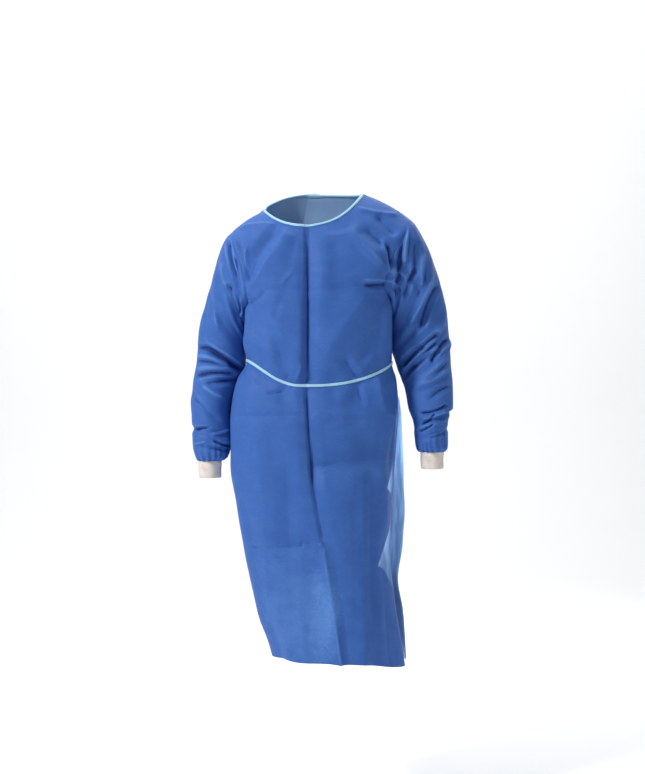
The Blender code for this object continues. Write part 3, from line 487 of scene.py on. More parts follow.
# Stations down each sleeve, folds round it and creases, in millimetres but for shares and turns
rightStations = (
    (0, -186, -70, -158, -262, -8, 84),
    (0.08, -208, -88, -166, -275, -4, 86),
    (0.17, -228, -128, -164, -292, 8, 84),
    (0.27, -243, -178, -162.5, -312, 22, 80),
    (0.37, -258, -228, -162.5, -333, 34, 76),
    (0.47, -273, -280, -162.2, -356, 36, 73),
    (0.56, -281, -330, -162, -380, 35, 69),
    (0.65, -284, -382, -173.5, -412, 30, 65),
    (0.74, -292, -440, -191, -455, 20, 60),
    (0.83, -294, -500, -201, -505, 8, 56),
    (0.89, -292, -545, -201.5, -545, 0, 52),
    (0.95, -288, -590, -202, -592, -8, 47),
    (0.985, -280, -614, -206, -611, -12, 40),
    (1, -275.5, -621.5, -219.5, -621.5, -14, 28),
)
rightFolds = (
    (0.14, 120, 0.1, 0.06, 70, -10),
    (0.3, 110, 0.14, 0.055, 60, 6),
    (0.42, 60, 0.1, 0.06, 75, 5),
    (0.6, 95, 0.06, 0.03, 90, -9),
    (0.66, 85, -0.02, 0.028, 80, 7),
    (0.7, 120, -0.03, 0.024, 70, -8),
    (0.78, 320, 0.04, 0.045, 80, 5),
    (0.895, 60, 0.01, 0.016, 110, -7),
    (0.925, 150, -0.02, 0.018, 100, 4),
    (0.95, 110, 0.01, 0.014, 90, -6),
    (0.62, 250, -0.05, 0.034, 90, -7),
    (0.36, 260, -0.12, 0.055, 70, 6),
    (0.91, 270, -0.02, 0.018, 110, -6),
    (0.12, 170, 0, 0.09, 60, 4),
    (0.8, 180, 0, 0.14, 60, 3),
    (0.92, 180, 0, 0.08, 60, 5),
)
rightFrontCreases = (
    (-200, -100, -184, -180, 2, 8, 10, -8, 0.8, 20),
    (-184, -175, -170, -232, 0, 10, 12, -5.2, 0.8, 20),
    (-181, -140, -170, -208, 0, 6, 8, -3.6, 0.8, 15),
    (-199, -205, -172, -278, 3, 12, 12, -5.8, 0.8, 20),
    (-214, -150, -190, -240, 4, 10, 12, 4.5, 0.9, 30),
    (-232, -170, -226, -300, 4, 14, 15, 3, 0.8, 40),
    (-252, -240, -262, -320, 2, 10, 12, -2.5, 0.8, 30),
    (-276, -346, -172, -402, -6, 9, 14, -8.5, 0.9, 20),
    (-276, -370, -196, -392, -4, 10, 9, 5, 0.9, 20),
    (-276, -414, -190, -411, -4, 8, 12, -6, 0.9, 20),
    (-262, -440, -214, -470, 3, 12, 14, 3.5, 0.8, 30),
    (-286, -470, -226, -520, 3, 12, 14, -3.5, 0.75, 30),
    (-287, -546, -250, -541, -2, 5, 7, -5, 1, 15),
    (-240, -556, -206, -548, 2, 6, 6, 3, 0.9, 15),
    (-234, -572, -204, -584, 1, 5, 7, -4.5, 1, 12),
    (-284, -580, -256, -574, 1, 5, 6, 2.8, 0.9, 12),
)
rightBackCreases = (
    (-200, -110, -178, -250, 4, 12, 14, -8, 0.75, 30),
    (-230, -180, -222, -300, 3, 14, 15, 4, 0.8, 30),
    (-276, -350, -190, -376, 6, 9, 14, -7, 0.9, 20),
    (-270, -396, -196, -420, 4, 9, 12, 4.5, 0.9, 20),
    (-284, -470, -214, -456, 4, 10, 12, -5, 0.8, 20),
    (-284, -548, -214, -560, 2, 6, 8, -5, 0.9, 15),
)
leftStations = (
    (0, 216, -26, 184, -240, -8, 84),
    (0.08, 246, -52, 192.5, -255, -4, 86),
    (0.17, 279, -112, 189.5, -276, 8, 85),
    (0.27, 303, -174, 186.5, -300, 20, 81),
    (0.37, 320, -234, 186.5, -325, 30, 77),
    (0.47, 329, -292, 189.5, -350, 30, 73),
    (0.56, 333, -340, 198.5, -378, 26, 70),
    (0.65, 334, -385, 209, -412, 16, 66),
    (0.74, 338, -440, 222, -450, 2, 62),
    (0.83, 337, -492, 230, -495, -14, 56),
    (0.89, 325, -526, 241, -528, -22, 50),
    (0.95, 322, -566, 244, -570, -30, 46),
    (0.985, 320, -590, 249, -592, -35, 39),
    (1, 312.5, -599, 256.5, -599, -37, 28),
)
leftFolds = (
    (0.12, 110, 0.1, 0.06, 70, -10),
    (0.28, 70, 0.16, 0.055, 70, 6),
    (0.4, 90, 0.14, 0.05, 70, -6),
    (0.5, 70, 0.14, 0.045, 75, 7),
    (0.61, 110, 0.13, 0.036, 85, -10),
    (0.67, 80, 0.12, 0.034, 75, 7),
    (0.56, 10, 0.04, 0.03, 60, 4),
    (0.865, 40, 0.03, 0.018, 100, -8),
    (0.905, 110, 0.03, 0.018, 90, 4),
    (0.93, 60, 0.02, 0.015, 90, -6),
    (0.62, 250, -0.06, 0.034, 90, -7),
    (0.34, 260, -0.12, 0.055, 70, 6),
    (0.89, 270, -0.02, 0.018, 110, -6),
    (0.06, 165, 0, 0.09, 65, 6),
    (0.14, 175, 0, 0.08, 60, 6),
)
leftFrontCreases = (
    (204, -90, 200, -210, -3, 12, 13, -5.6, 0.5, 30),
    (222, -66, 217, -150, 0, 9, 9, 5, 0.9, 20),
    (246, -100, 243, -172, 2, 13, 13, -3.4, 0.5, 30),
    (243, -168, 216, -236, 2, 10, 12, -6, 0.85, 20),
    (262, -130, 256, -210, 3, 12, 12, 4, 0.8, 30),
    (304, -200, 258, -300, 4, 14, 17, -6, 0.8, 30),
    (280, -190, 236, -290, 3, 12, 14, 4.5, 0.85, 30),
    (297, -318, 258, -353, 1, 9, 12, -8, 0.95, 15),
    (262, -348, 214, -392, 2, 9, 14, -10, 0.95, 20),
    (300, -348, 240, -388, 2, 10, 10, 5, 0.85, 20),
    (326, -330, 284, -382, 3, 9, 12, -7, 0.9, 15),
    (322, -400, 262, -440, -3, 12, 14, 4, 0.75, 30),
    (330, -440, 276, -470, 3, 12, 12, -3, 0.75, 30),
    (256, -506, 318, -486, 4, 6, 8, -6, 1, 12),
    (262, -520, 312, -502, 3, 6, 5, 3.5, 0.9, 12),
    (258, -532, 288, -508, 2, 5, 6, -5, 1, 10),
    (252, -549, 284, -532, 1, 5, 6, -4.5, 1, 10),
    (276, -560, 314, -546, 1, 5, 6, 2.8, 0.9, 10),
)
leftBackCreases = (
    (212, -100, 206, -230, 3, 12, 14, -8, 0.75, 30),
    (262, -150, 240, -260, 3, 14, 15, 4, 0.8, 30),
    (320, -330, 236, -362, 6, 9, 14, -7, 0.9, 20),
    (316, -376, 240, -404, 4, 9, 12, 4.5, 0.9, 20),
    (330, -450, 256, -436, 4, 10, 12, -5, 0.8, 20),
    (318, -524, 254, -536, 2, 6, 8, -5, 0.9, 15),
)
sleeves = {
    side: {"stations": columnsOf(sleeveColumns, metres(stations, [0])), "folds": metres(folds, range(5)),
           "front": front, "back": back}
    for side, stations, folds, front, back in (
        ("right", rightStations, rightFolds, rightFrontCreases, rightBackCreases),
        ("left", leftStations, leftFolds, leftFrontCreases, leftBackCreases),
    )
}
sleeveSettings = {
    "ease": 0.35, "gathers": 15, "gatherDepth": 0.0021, "gatherReach": 0.055, "creaseGain": 1.9, "seed": 23,
    "rows": 210, "columns": 156,
}


def plainSleeve(side, ringTurn, along):
    # ovals between the outer and inner line, plus the armhole's own shape, which fades by (1 - t)^2
    station = sleeves[side]["stations"]
    values = [curveThrough(along, station["along"], station[name]) for name in sleeveColumns[1:]]
    c, s = np.cos(np.radians(ringTurn)), np.sin(np.radians(ringTurn))

    def oval(outer, outerZ, inner, innerZ, middle, halfDepth):
        return np.stack([(outer + inner) / 2 + (outer - inner) / 2 * c, middle - halfDepth * s,
                         (outerZ + innerZ) / 2 + (outerZ - innerZ) / 2 * c], axis=-1)

    start = oval(*[station[name][0] + 0 * along for name in sleeveColumns[1:]])
    fade = (1 - np.clip(along / sleeveSettings["ease"], 0, 1)) ** 2
    fromStart = (gownSurface(*armhole(side, ringTurn)) - start) * fade[..., None]
    return oval(*values) + fromStart


def sleeveNormal(side, surface, ringTurn, along):
    # cross product of small steps round and down the sleeve, outwards on either side
    low, high = np.clip(along - 0.004, 0, 1), np.clip(along + 0.004, 0, 1)
    roundStep = surface(side, ringTurn + 1.0, along) - surface(side, ringTurn - 1.0, along)
    downStep = surface(side, ringTurn, high) - surface(side, ringTurn, low)
    return (-1 if side == "right" else 1) * unit(np.cross(roundStep, downStep))


def sleeveSurface(side, ringTurn, along):
    # plain sleeve + (large folds + creases + gathers above the cuff) * normal
    points = plainSleeve(side, ringTurn, along)
    normals = sleeveNormal(side, plainSleeve, ringTurn, along)
    out = np.zeros(along.shape)
    for row in sleeves[side]["folds"]:
        fold = dict(zip(sleeveFoldColumns, row))
        away = (ringTurn - fold["turn"] + 180) % 360 - 180
        centre = fold["along"] + fold["slant"] * away / 90
        out += fold["out"] * swell(away / fold["halfSpread"]) * swell((along - centre) / fold["halfHeight"])
    out *= easeStep(along / 0.06) * easeStep((1 - along) / 0.03)
    creased = creasedOut(points, normals, sleeves[side]["front"], sleeves[side]["back"],
                         sleeveSettings["creaseGain"], sleeveSettings["seed"])
    out += creased * easeStep(along / 0.03) * easeStep((1 - along) / 0.04)
    wander = 0.35 * np.sin(np.radians(3 * ringTurn) + 1.0) + 0.25 * np.sin(np.radians(5 * ringTurn) + 2.2)
    wave = np.sin(np.radians(ringTurn) * sleeveSettings["gathers"] + 2.5 * wander)
    reach = 2 * sleeveSettings["gatherReach"]
    near = np.clip((along - 1 + reach) / reach, 0, 1)
    out += sleeveSettings["gatherDepth"] * wave * near**1.5 * easeStep((1 - along) / 0.004)
    return points + out[..., None] * normals


def mitre(side, ringTurn):
    # one inward direction for the two walls that meet at an armhole
    turn, level = armhole(side, ringTurn)
    onBody = gownNormal(gownSurface, turn, level)
    return unit(onBody + sleeveNormal(side, sleeveSurface, ringTurn, 0 * ringTurn))


def seamDepth(level):
    # how far the cloth sinks at a seam: nothing at the shoulder and the sides, most beside the armpit
    below, above = easeStep((-0.10 - level) / 0.08), easeStep((level - gown["armpit"] + 0.012) / 0.012)
    return gown["seamDip"] * below * above


def fromEdge(grid, edge):
    # the grid turned so that the named edge is its first row
    return {"first": grid.swapaxes(0, 1), "last": grid[:, ::-1].swapaxes(0, 1), "low": grid}[edge]


def edgeDip(points, normals, edge, edgeNormals, depth, width):
    # cloth near a seam sinks by depth * exp(-(distance / width)^2), towards the seam's own direction
    grid, facing = fromEdge(points, edge), fromEdge(normals, edge)
    steps = np.linalg.norm(np.diff(grid, axis=0), axis=-1)
    distance = np.concatenate([np.zeros((1, grid.shape[1])), np.cumsum(steps, axis=0)])[..., None]
    blend = easeStep(distance / (2 * width))
    direction = unit(edgeNormals[None] * (1 - blend) + facing * blend)
    moved = grid - depth[None, :, None] * np.exp(-((distance / width) ** 2)) * direction
    if edge == "low":
        return moved
    return moved.swapaxes(0, 1) if edge == "first" else moved.swapaxes(0, 1)[:, ::-1]


# Finishes

def newGroup(name, inputs, outputs):
    group = bpy.data.node_groups.new(name, "ShaderNodeTree")
    for label, kind, value in inputs:
        socket = group.interface.new_socket(name=label, in_out="INPUT", socket_type=kind)
        if value is not None:
            socket.default_value = value
    for label, kind in outputs:
        group.interface.new_socket(name=label, in_out="OUTPUT", socket_type=kind)
    return group, group.nodes.new("NodeGroupInput"), group.nodes.new("NodeGroupOutput")


def addNode(tree, kind, settings=None, **values):
    # a node with its settings and inputs, where a socket is linked and a number or colour is set
    node = tree.nodes.new(kind)
    for key, value in (settings or {}).items():
        setattr(node, key, value)
    for key, value in values.items():
        if isinstance(value, bpy.types.NodeSocket):
            tree.links.new(value, node.inputs[key])
        else:
            node.inputs[key].default_value = value
    return node


def mathNode(tree, operation, first, second=None, kind="ShaderNodeMath"):
    # one Math or Vector Math node whose inputs are sockets or numbers
    node = addNode(tree, kind, {"operation": operation})
    for k, value in enumerate((first, second)):
        if isinstance(value, (int, float)):
            node.inputs[k].default_value = value
        elif value is not None:
            tree.links.new(value, node.inputs[k])
    return node.outputs["Value" if operation == "LENGTH" else 0]


def arithmetic(tree):
    # plus, minus and times for one tree's sockets and numbers
    return [lambda first, second, name=name: mathNode(tree, name, first, second)
            for name in ("ADD", "SUBTRACT", "MULTIPLY")]


def ramp(tree, value, low, high, outLow=0.0, outHigh=1.0):
    # smooth step of a value from low..high to outLow..outHigh
    ends = {"Value": value, "From Min": low, "From Max": high, "To Min": outLow, "To Max": outHigh}
    return addNode(tree, "ShaderNodeMapRange", {"interpolation_type": "SMOOTHSTEP"}, **ends).outputs["Result"]


def noise(tree, vector, scale, detail, roughness=0.5):
    values = {"Vector": vector, "Scale": scale, "Detail": detail, "Roughness": roughness}
    return addNode(tree, "ShaderNodeTexNoise", **values).outputs[0]


def attribute(tree, name):
    return addNode(tree, "ShaderNodeAttribute", {"attribute_name": name}).outputs["Fac"]


fullTurn = 6.2832  # radians in one wave
bondLook = {
    "stretch": (1.0, 0.72), "edge": (0.25, 0.85), "fibreStretch": (1.0, 0.22, 1.0), "dip": 0.22, "rough": -0.12,
}


def bondGroup():
    # spunbond web: bond = cos(2 pi u / p) * cos(2 pi 0.72 v / p), high at a staggered grid of points; fibre =
    # stretched noise; cloud = slow noise, the uneven lay of the web
    group, given, put = newGroup(
        "nonwovenWeb",
        [("Vector", "NodeSocketVector", None), ("Pitch", "NodeSocketFloat", 0.0022),
         ("Grain", "NodeSocketFloat", 1.0)],
        [("Tone", "NodeSocketFloat"), ("Height", "NodeSocketFloat"), ("Rough", "NodeSocketFloat")],
    )
    plus, minus, times = arithmetic(group)
    at, link = given.outputs["Vector"], group.links.new
    parts = addNode(group, "ShaderNodeSeparateXYZ", Vector=at)
    waves = [
        mathNode(group, "COSINE", mathNode(group, "DIVIDE", times(parts.outputs[axis], fullTurn * stretch),
                                           given.outputs["Pitch"]))
        for axis, stretch in zip("XY", bondLook["stretch"])
    ]
    bond = ramp(group, times(*waves), *bondLook["edge"])
    stretched = addNode(group, "ShaderNodeMapping", Vector=at, Scale=bondLook["fibreStretch"])
    fibre = noise(group, stretched.outputs[0], 1300.0, 4.0, 0.65)
    cloud, speck = noise(group, at, 26.0, 5.0, 0.7), noise(group, at, 420.0, 3.0, 0.7)
    tone = plus(ramp(group, cloud, 0.30, 0.70, -0.16, 0.16), ramp(group, speck, 0.30, 0.70, -0.16, 0.16))
    tone = minus(plus(tone, ramp(group, fibre, 0.25, 0.75, -0.25, 0.25)), times(bond, bondLook["dip"]))
    link(times(tone, given.outputs["Grain"]), put.inputs["Tone"])
    link(minus(times(fibre, 0.35), bond), put.inputs["Height"])
    link(ramp(group, bond, 0.0, 1.0, 0.0, bondLook["rough"]), put.inputs["Rough"])
    return group


def crumpleGroup():
    # crumple = 1 - |2 noise - 1|, a net of sharp small ridges broken by slower noise, round one place
    group, given, put = newGroup(
        "crumplePatch",
        [("Vector", "NodeSocketVector", None), ("Centre", "NodeSocketVector", (0.0, 0.0, 0.0)),
         ("Reach", "NodeSocketVector", (0.03, 1.0, 0.10)), ("Scale", "NodeSocketFloat", 60.0)],
        [("Mask", "NodeSocketFloat"), ("Ridge", "NodeSocketFloat")],
    )
    plus, minus, times = arithmetic(group)
    at, vectorKind = given.outputs["Vector"], "ShaderNodeVectorMath"
    share = mathNode(group, "SUBTRACT", at, given.outputs["Centre"], vectorKind)
    share = mathNode(group, "DIVIDE", share, given.outputs["Reach"], vectorKind)
    away = mathNode(group, "LENGTH", share, None, vectorKind)
    ragged = plus(away, times(noise(group, at, 24.0, 3.0), 0.9))
    fold = minus(times(noise(group, at, given.outputs["Scale"], 3.0, 0.6), 2.0), 1.0)
    fold = ramp(group, mathNode(group, "ABSOLUTE", fold), 0.0, 0.16, 1.0, 0.0)
    group.links.new(ramp(group, ragged, 0.55, 1.50, 1.0, 0.0), put.inputs["Mask"])
    group.links.new(times(fold, ramp(group, noise(group, at, 85.0, 2.0), 0.50, 0.60)), put.inputs["Ridge"])
    return group


def newMaterial(name, roughness, sheen, specular):
    material = bpy.data.materials.new(name)
    material.use_nodes = True
    shader = material.node_tree.nodes["Principled BSDF"]
    for label, value in (
        ("Roughness", roughness), ("Sheen Weight", sheen), ("Sheen Roughness", 0.45),
        ("Sheen Tint", (0.35, 0.60, 1.0, 1)), ("Specular IOR Level", specular),
    ):
        shader.inputs[label].default_value = value
    return material, material.node_tree, shader


def toneMix(tree, value, dark, mid, light):
    # a colour from dark at -1 through mid at 0 to light at 1
    node = tree.nodes.new("ShaderNodeValToRGB")
    node.color_ramp.elements[0].color = (*dark, 1)
    node.color_ramp.elements[1].color = (*light, 1)
    node.color_ramp.elements.new(0.5).color = (*mid, 1)
    tree.links.new(ramp(tree, value, -1.0, 1.0), node.inputs[0])
    return node.outputs["Color"]


def addBump(tree, shader, height, strength):
    bump = addNode(tree, "ShaderNodeBump", Height=height, Strength=strength, Distance=1.0)
    tree.links.new(bump.outputs[0], shader.inputs["Normal"])


def mapVector(tree):
    return addNode(tree, "ShaderNodeUVMap", {"uv_map": "clothMap"}).outputs[0]


finishes = {
    "clothOutside": {
        "tones": ((0.022, 0.080, 0.330), (0.041, 0.126, 0.428), (0.095, 0.236, 0.595)),
        "roughness": 0.62, "sheen": 0.08, "specular": 0.20, "grain": 0.55,
        # crinkled patches: a painted highlight on the crumple's small ridges and a lighter painted haze over
        # each patch, with a slight bump
        "patches": (
            {"centre": (0.026, -0.160, -0.975), "reach": (0.048, 0.16, 0.140), "scale": 85.0, "light": 2.0,
             "highlightHaze": 0.46, "height": 0.0004},
            {"centre": (-0.040, -0.150, -0.960), "reach": (0.130, 0.16, 0.200), "scale": 40.0, "light": 0.06,
             "highlightHaze": 0.30, "height": 0.0},
        ),
    },
    # the inside is painted paler than the outside: painted light, standing for light coming through the thin
    # cloth
    "paleLitInside": {
        "tones": ((0.240, 0.420, 0.700), (0.330, 0.520, 0.790), (0.430, 0.620, 0.860)),
        "roughness": 0.60, "sheen": 0.20, "specular": 0.30, "grain": 0.60, "patches": (),
    },
}
clothLook = {
    "pitch": 0.0021, "webHeight": 0.00006, "bump": 0.8,
    # painted shade in the hollows of the cloth's relief and a painted highlight on its ridges
    "hollow": (-0.0032, -0.0004, 1.0, 0.0), "ridge": (0.0005, 0.0030), "paintedLight": 0.55, "paintedShade": 0.45,
    "shade": 0.85, "shadeColour": (0.25, 0.25, 0.40, 1),
    "streaks": (90.0, 60.0, 9.0), "streakRange": (0.35, 0.65, 0.70, 1.10),
    "backlit": 0.8, "backlitColour": (0.38, 0.60, 0.88, 1), "glow": 0.92, "glowColour": (0.30, 0.58, 1.0, 1),
}


def clothMaterial(name, web, crumple):
    finish, look = finishes[name], clothLook
    material, tree, shader = newMaterial(name, finish["roughness"], finish["sheen"], finish["specular"])
    plus, minus, times = arithmetic(tree)
    webbed = addNode(tree, "ShaderNodeGroup", {"node_tree": web}, Vector=mapVector(tree), Pitch=look["pitch"],
                     Grain=finish["grain"]).outputs
    tone, height = webbed["Tone"], times(webbed["Height"], look["webHeight"])
    place = tree.nodes.new("ShaderNodeTexCoord").outputs["Object"]
    # each crinkled patch paints a highlight on its small ridges and a lighter haze over the patch, and bumps the
    # ridges a little
    for patch in finish["patches"]:
        values = {"Centre": patch["centre"], "Reach": patch["reach"], "Scale": patch["scale"]}
        crumpled = addNode(tree, "ShaderNodeGroup", {"node_tree": crumple}, Vector=place, **values).outputs
        ridge = times(crumpled["Mask"], crumpled["Ridge"])
        tone = plus(plus(tone, times(ridge, patch["light"])), times(crumpled["Mask"], patch["highlightHaze"]))
        height = plus(height, times(ridge, patch["height"]))
    # the vertex value "relief": a painted highlight on ridges, and painted shade in hollows, both in the tone
    # and as a dim blue multiplied over the colour
    relief = attribute(tree, "relief")
    hollow = ramp(tree, relief, *look["hollow"])
    tone = plus(tone, times(ramp(tree, relief, *look["ridge"]), look["paintedLight"]))
    tone = minus(tone, times(hollow, look["paintedShade"]))
    # painted light through the cloth: the vertex value "backlit", streaked by a noise drawn out in height, as a
    # pale colour and emission
    tall = addNode(tree, "ShaderNodeMapping", Vector=place, Scale=look["streaks"]).outputs[0]
    backlit = times(attribute(tree, "backlit"), ramp(tree, noise(tree, tall, 1.0, 3.0), *look["streakRange"]))
    blend = addNode(tree, "ShaderNodeMix", {"data_type": "RGBA"}, Factor=times(backlit, look["backlit"]),
                    A=toneMix(tree, tone, *finish["tones"]), B=look["backlitColour"])
    shade = addNode(tree, "ShaderNodeMix", {"data_type": "RGBA", "blend_type": "MULTIPLY"},
                    Factor=times(hollow, look["shade"]), A=blend.outputs["Result"], B=look["shadeColour"])
    link = tree.links.new
    link(shade.outputs["Result"], shader.inputs["Base Color"])
    shader.inputs["Emission Color"].default_value = look["glowColour"]
    link(times(mathNode(tree, "POWER", backlit, 2.0), look["glow"]), shader.inputs["Emission Strength"])
    link(plus(webbed["Rough"], finish["roughness"]), shader.inputs["Roughness"])
    addBump(tree, shader, height, look["bump"])
    return material


tapeLook = {
    "tones": ((0.240, 0.480, 0.690), (0.370, 0.640, 0.820), (0.520, 0.770, 0.910)), "pitch": 0.0012,
    "grain": 0.6, "stitch": 0.0032, "dash": (-0.2, 0.3), "row": 0.0060, "thread": (0.0002, 0.0005, 1.0, 0.0),
    "stitchTone": 0.8, "webHeight": 0.00008, "stitchHeight": 0.0003, "bump": 0.9,
}


def tapeMaterial(name, web):
    # folded tape: a fine cross grain, and a dashed row of stitches, sin(2 pi u / 0.0032), near v = 0.006
    look = tapeLook
    material, tree, shader = newMaterial(name, 0.50, 0.30, 0.35)
    _, minus, times = arithmetic(tree)
    at = mapVector(tree)
    webbed = addNode(tree, "ShaderNodeGroup", {"node_tree": web}, Vector=at, Pitch=look["pitch"],
                     Grain=look["grain"]).outputs
    parts = addNode(tree, "ShaderNodeSeparateXYZ", Vector=at)
    dash = mathNode(tree, "SINE", times(parts.outputs["X"], fullTurn / look["stitch"]))
    row = mathNode(tree, "ABSOLUTE", minus(parts.outputs["Y"], look["row"]))
    stitch = times(ramp(tree, dash, *look["dash"]), ramp(tree, row, *look["thread"]))
    tone = minus(webbed["Tone"], times(stitch, look["stitchTone"]))
    tree.links.new(toneMix(tree, tone, *look["tones"]), shader.inputs["Base Color"])
    height = minus(times(webbed["Height"], look["webHeight"]), times(stitch, look["stitchHeight"]))
    addBump(tree, shader, height, look["bump"])
    return material


cuffSettings = {
    "height": 0.040, "taper": 0.0012, "ribs": 72, "ribDepth": 0.0006, "wall": 0.0022, "rows": 40, "perRib": 6,
    "ribPitch": 0.176 / 72, "courseHeight": 0.0019, "lean": 1.6, "furrow": (0.30, 0.50, 0.0, -0.9),
    "tones": ((0.620, 0.540, 0.460), (0.880, 0.800, 0.730), (0.950, 0.910, 0.860)),
    "uneven": (0.3, 0.7, -0.3, 0.3), "courseTone": 0.22, "courseBump": 0.00012, "fuzzBump": 0.00015, "bump": 0.9,
}


def knitMaterial(name):
    # knit rows: v-shaped loops, sin(2 pi (v / row + |fract(u / rib) - 0.5| * lean)), with a fuzzy noise
    look = cuffSettings
    material, tree, shader = newMaterial(name, 0.85, 0.5, 0.2)
    plus, minus, times = arithmetic(tree)
    at = mapVector(tree)
    parts = addNode(tree, "ShaderNodeSeparateXYZ", Vector=at)
    rib = mathNode(tree, "FRACT", mathNode(tree, "DIVIDE", parts.outputs["X"], look["ribPitch"]))
    lean = mathNode(tree, "ABSOLUTE", minus(rib, 0.5))
    loop = plus(mathNode(tree, "DIVIDE", parts.outputs["Y"], look["courseHeight"]), times(lean, look["lean"]))
    course = mathNode(tree, "SINE", times(loop, fullTurn))
    fuzz, slow = noise(tree, at, 900.0, 4.0, 0.7), noise(tree, at, 60.0, 3.0)
    tone = plus(times(course, look["courseTone"]), ramp(tree, lean, *look["furrow"]))
    tone = plus(plus(tone, ramp(tree, fuzz, *look["uneven"])), ramp(tree, slow, *look["uneven"]))
    tree.links.new(toneMix(tree, tone, *look["tones"]), shader.inputs["Base Color"])
    addBump(tree, shader, plus(times(course, look["courseBump"]), times(fuzz, look["fuzzBump"])), look["bump"])
    return material


web, crumple = bondGroup(), crumpleGroup()
clothOutside, paleLitInside = (clothMaterial(name, web, crumple) for name in finishes)
tapeFinish = tapeMaterial("paleTape", web)
knitFinish = knitMaterial("creamKnit")
print("finishes made")


# Camera and light

view = {"distance": 3.2, "height": -0.444, "x": 0.023, "pixelsPerMetre": 414.0, "frameHeight": 774.0}


def addCamera():
    data = bpy.data.cameras.new("camera")
    data.sensor_fit = "VERTICAL"
    data.sensor_height = 24.0
    data.lens = data.sensor_height * view["distance"] * view["pixelsPerMetre"] / view["frameHeight"]
    camera = bpy.data.objects.new("camera", data)
    camera.location = (view["x"], -view["distance"], view["height"])
    camera.rotation_euler = (np.pi / 2, 0, 0)
    bpy.context.scene.collection.objects.link(camera)
    bpy.context.scene.camera = camera


lightColumns = ("name", "place", "aim", "size", "power", "colour")
lights = (
    ("keyLight", (-2.3, -1.7, 1.5), (0.0, 0.0, -0.45), 0.55, 92.0, (1.0, 0.98, 0.95)),
    ("fillLight", (2.2, -2.2, 0.0), (0.0, 0.0, -0.5), 1.6, 8.5, (0.84, 0.92, 1.0)),
    ("topLight", (0.3, 0.6, 2.0), (0.0, 0.0, -0.3), 1.2, 14.0, (1.0, 1.0, 1.0)),
    ("rearLight", (0.8, 2.4, 0.8), (0.0, 0.0, -0.4), 1.4, 22.0, (1.0, 1.0, 1.0)),
    ("backdropLight", (0.0, 1.4, 3.2), (0.0, 4.0, 0.4), 3.0, 110.0, (1.0, 1.0, 1.0)),
)


def addLights():
    for row in lights:
        light = dict(zip(lightColumns, row))
        data = bpy.data.lights.new(light["name"], "AREA")
        data.size, data.energy, data.color = light["size"], light["power"], light["colour"]
        lamp = bpy.data.objects.new(light["name"], data)
        lamp.location = light["place"]
        towards = Vector(light["aim"]) - Vector(light["place"])
        lamp.rotation_euler = towards.to_track_quat("-Z", "Y").to_euler()
        bpy.context.scene.collection.objects.link(lamp)
    world = bpy.data.worlds.new("studio")
    world.use_nodes = True
    background = world.node_tree.nodes["Background"]
    background.inputs["Color"].default_value = (0.95, 0.97, 1.0, 1)
    background.inputs["Strength"].default_value = 0.34
    bpy.context.scene.world = world
    bpy.context.scene.view_settings.view_transform = "Standard"


def addFloor():
    # a pale floor that bends up into a wall behind: a quarter circle between the two
    side, near, depth, bend, floorZ, top = 7.0, -5.0, 4.0, 1.0, -1.45, 5.0
    t = np.linspace(0, np.pi / 2, 25)
    flat, wall = np.linspace(near, depth - bend, 10)[:-1], np.linspace(floorZ + bend, top, 10)[1:]
    y = np.concatenate([flat, depth - bend + bend * np.sin(t), np.full(9, depth)])
    z = np.concatenate([np.full(9, floorZ), floorZ + bend - bend * np.cos(t), wall])
    x = np.linspace(-side, side, 9)
    points = np.stack(np.broadcast_arrays(x[None, :], y[:, None], z[:, None]), axis=-1)
    quads = gridQuads(np.arange(points.size // 3).reshape(len(y), 9))
    material, _, shader = newMaterial("paleFloor", 0.9, 0.0, 0.1)
    shader.inputs["Base Color"].default_value = (0.94, 0.945, 0.95, 1)
    meshObject("paleFloor", points.reshape(-1, 3), quads, np.zeros((len(quads) * 4, 2)), [material])


addCamera()
addLights()
addFloor()
print("camera, lights and floor made")


# Loose ends and knots

tape = {"width": 0.0075, "wall": 0.0012, "lift": 0.0005, "bindingWall": 0.0009, "bindingLift": 0.0003,
        "profile": 24, "mapRound": 0.018, "mapStart": -0.0005}


def finishPiece(piece, node):
    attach(piece, "root")
    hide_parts(node)


def bandLength(points):
    # the distance travelled along a line at each of its points
    steps = np.linalg.norm(np.diff(points, axis=0), axis=1)
    return np.concatenate([[0], np.cumsum(steps)])


def rounded(half, thick, count):
    # the profile of a flat tape: |u / half|^5 + |w / (thick / 2)|^2.5 = 1, w from the middle of its thickness
    angle = np.linspace(0, 2 * np.pi, count + 1)[:-1] + 0.01
    c, s = np.cos(angle), np.sin(angle)
    return np.sign(c) * np.abs(c) ** 0.4 * half, np.sign(s) * np.abs(s) ** 0.8 * thick / 2


def tapeMap(travelled, around=None):
    # metres along the tape and round it
    if around is None:
        around = np.linspace(0, tape["mapRound"], tape["profile"] + 1) + tape["mapStart"]
    return np.stack(np.broadcast_arrays(travelled[:, None], around[None, :]), axis=-1)


def metresPerDegree(level):
    # how far one degree goes across the middle of the back
    here = outerBack(np.array([89.5, 90.5]), np.array([level, level]))
    return float(np.linalg.norm(here[1] - here[0]))


knotSettings = {"turn": 90.0, "width": 0.0120, "depth": 0.0056, "height": 0.0110}
tailSettings = {
    "points": 90, "below": 0.0073, "gap": 0.0003, "spread": 0.018, "sway": 0.0012, "swayTurns": 9.0,
    "narrow": 0.5, "narrowShare": 0.12, "rise": 0.0014, "riseShare": 0.1, "curl": 0.003, "curlShare": 0.2,
    "tilt": 0.25, "tiltTurns": 7.0,
}
tails = {
    "neck": {
        "level": gown["neck"] - 0.0055, "lift": 0.0026, "drop": 0.150, "length": 0.143, "knot": "neckKnot",
    },
    "waist": {"level": gown["belt"], "lift": 0.0012, "drop": 0.240, "length": 0.253, "knot": "waistKnot"},
}


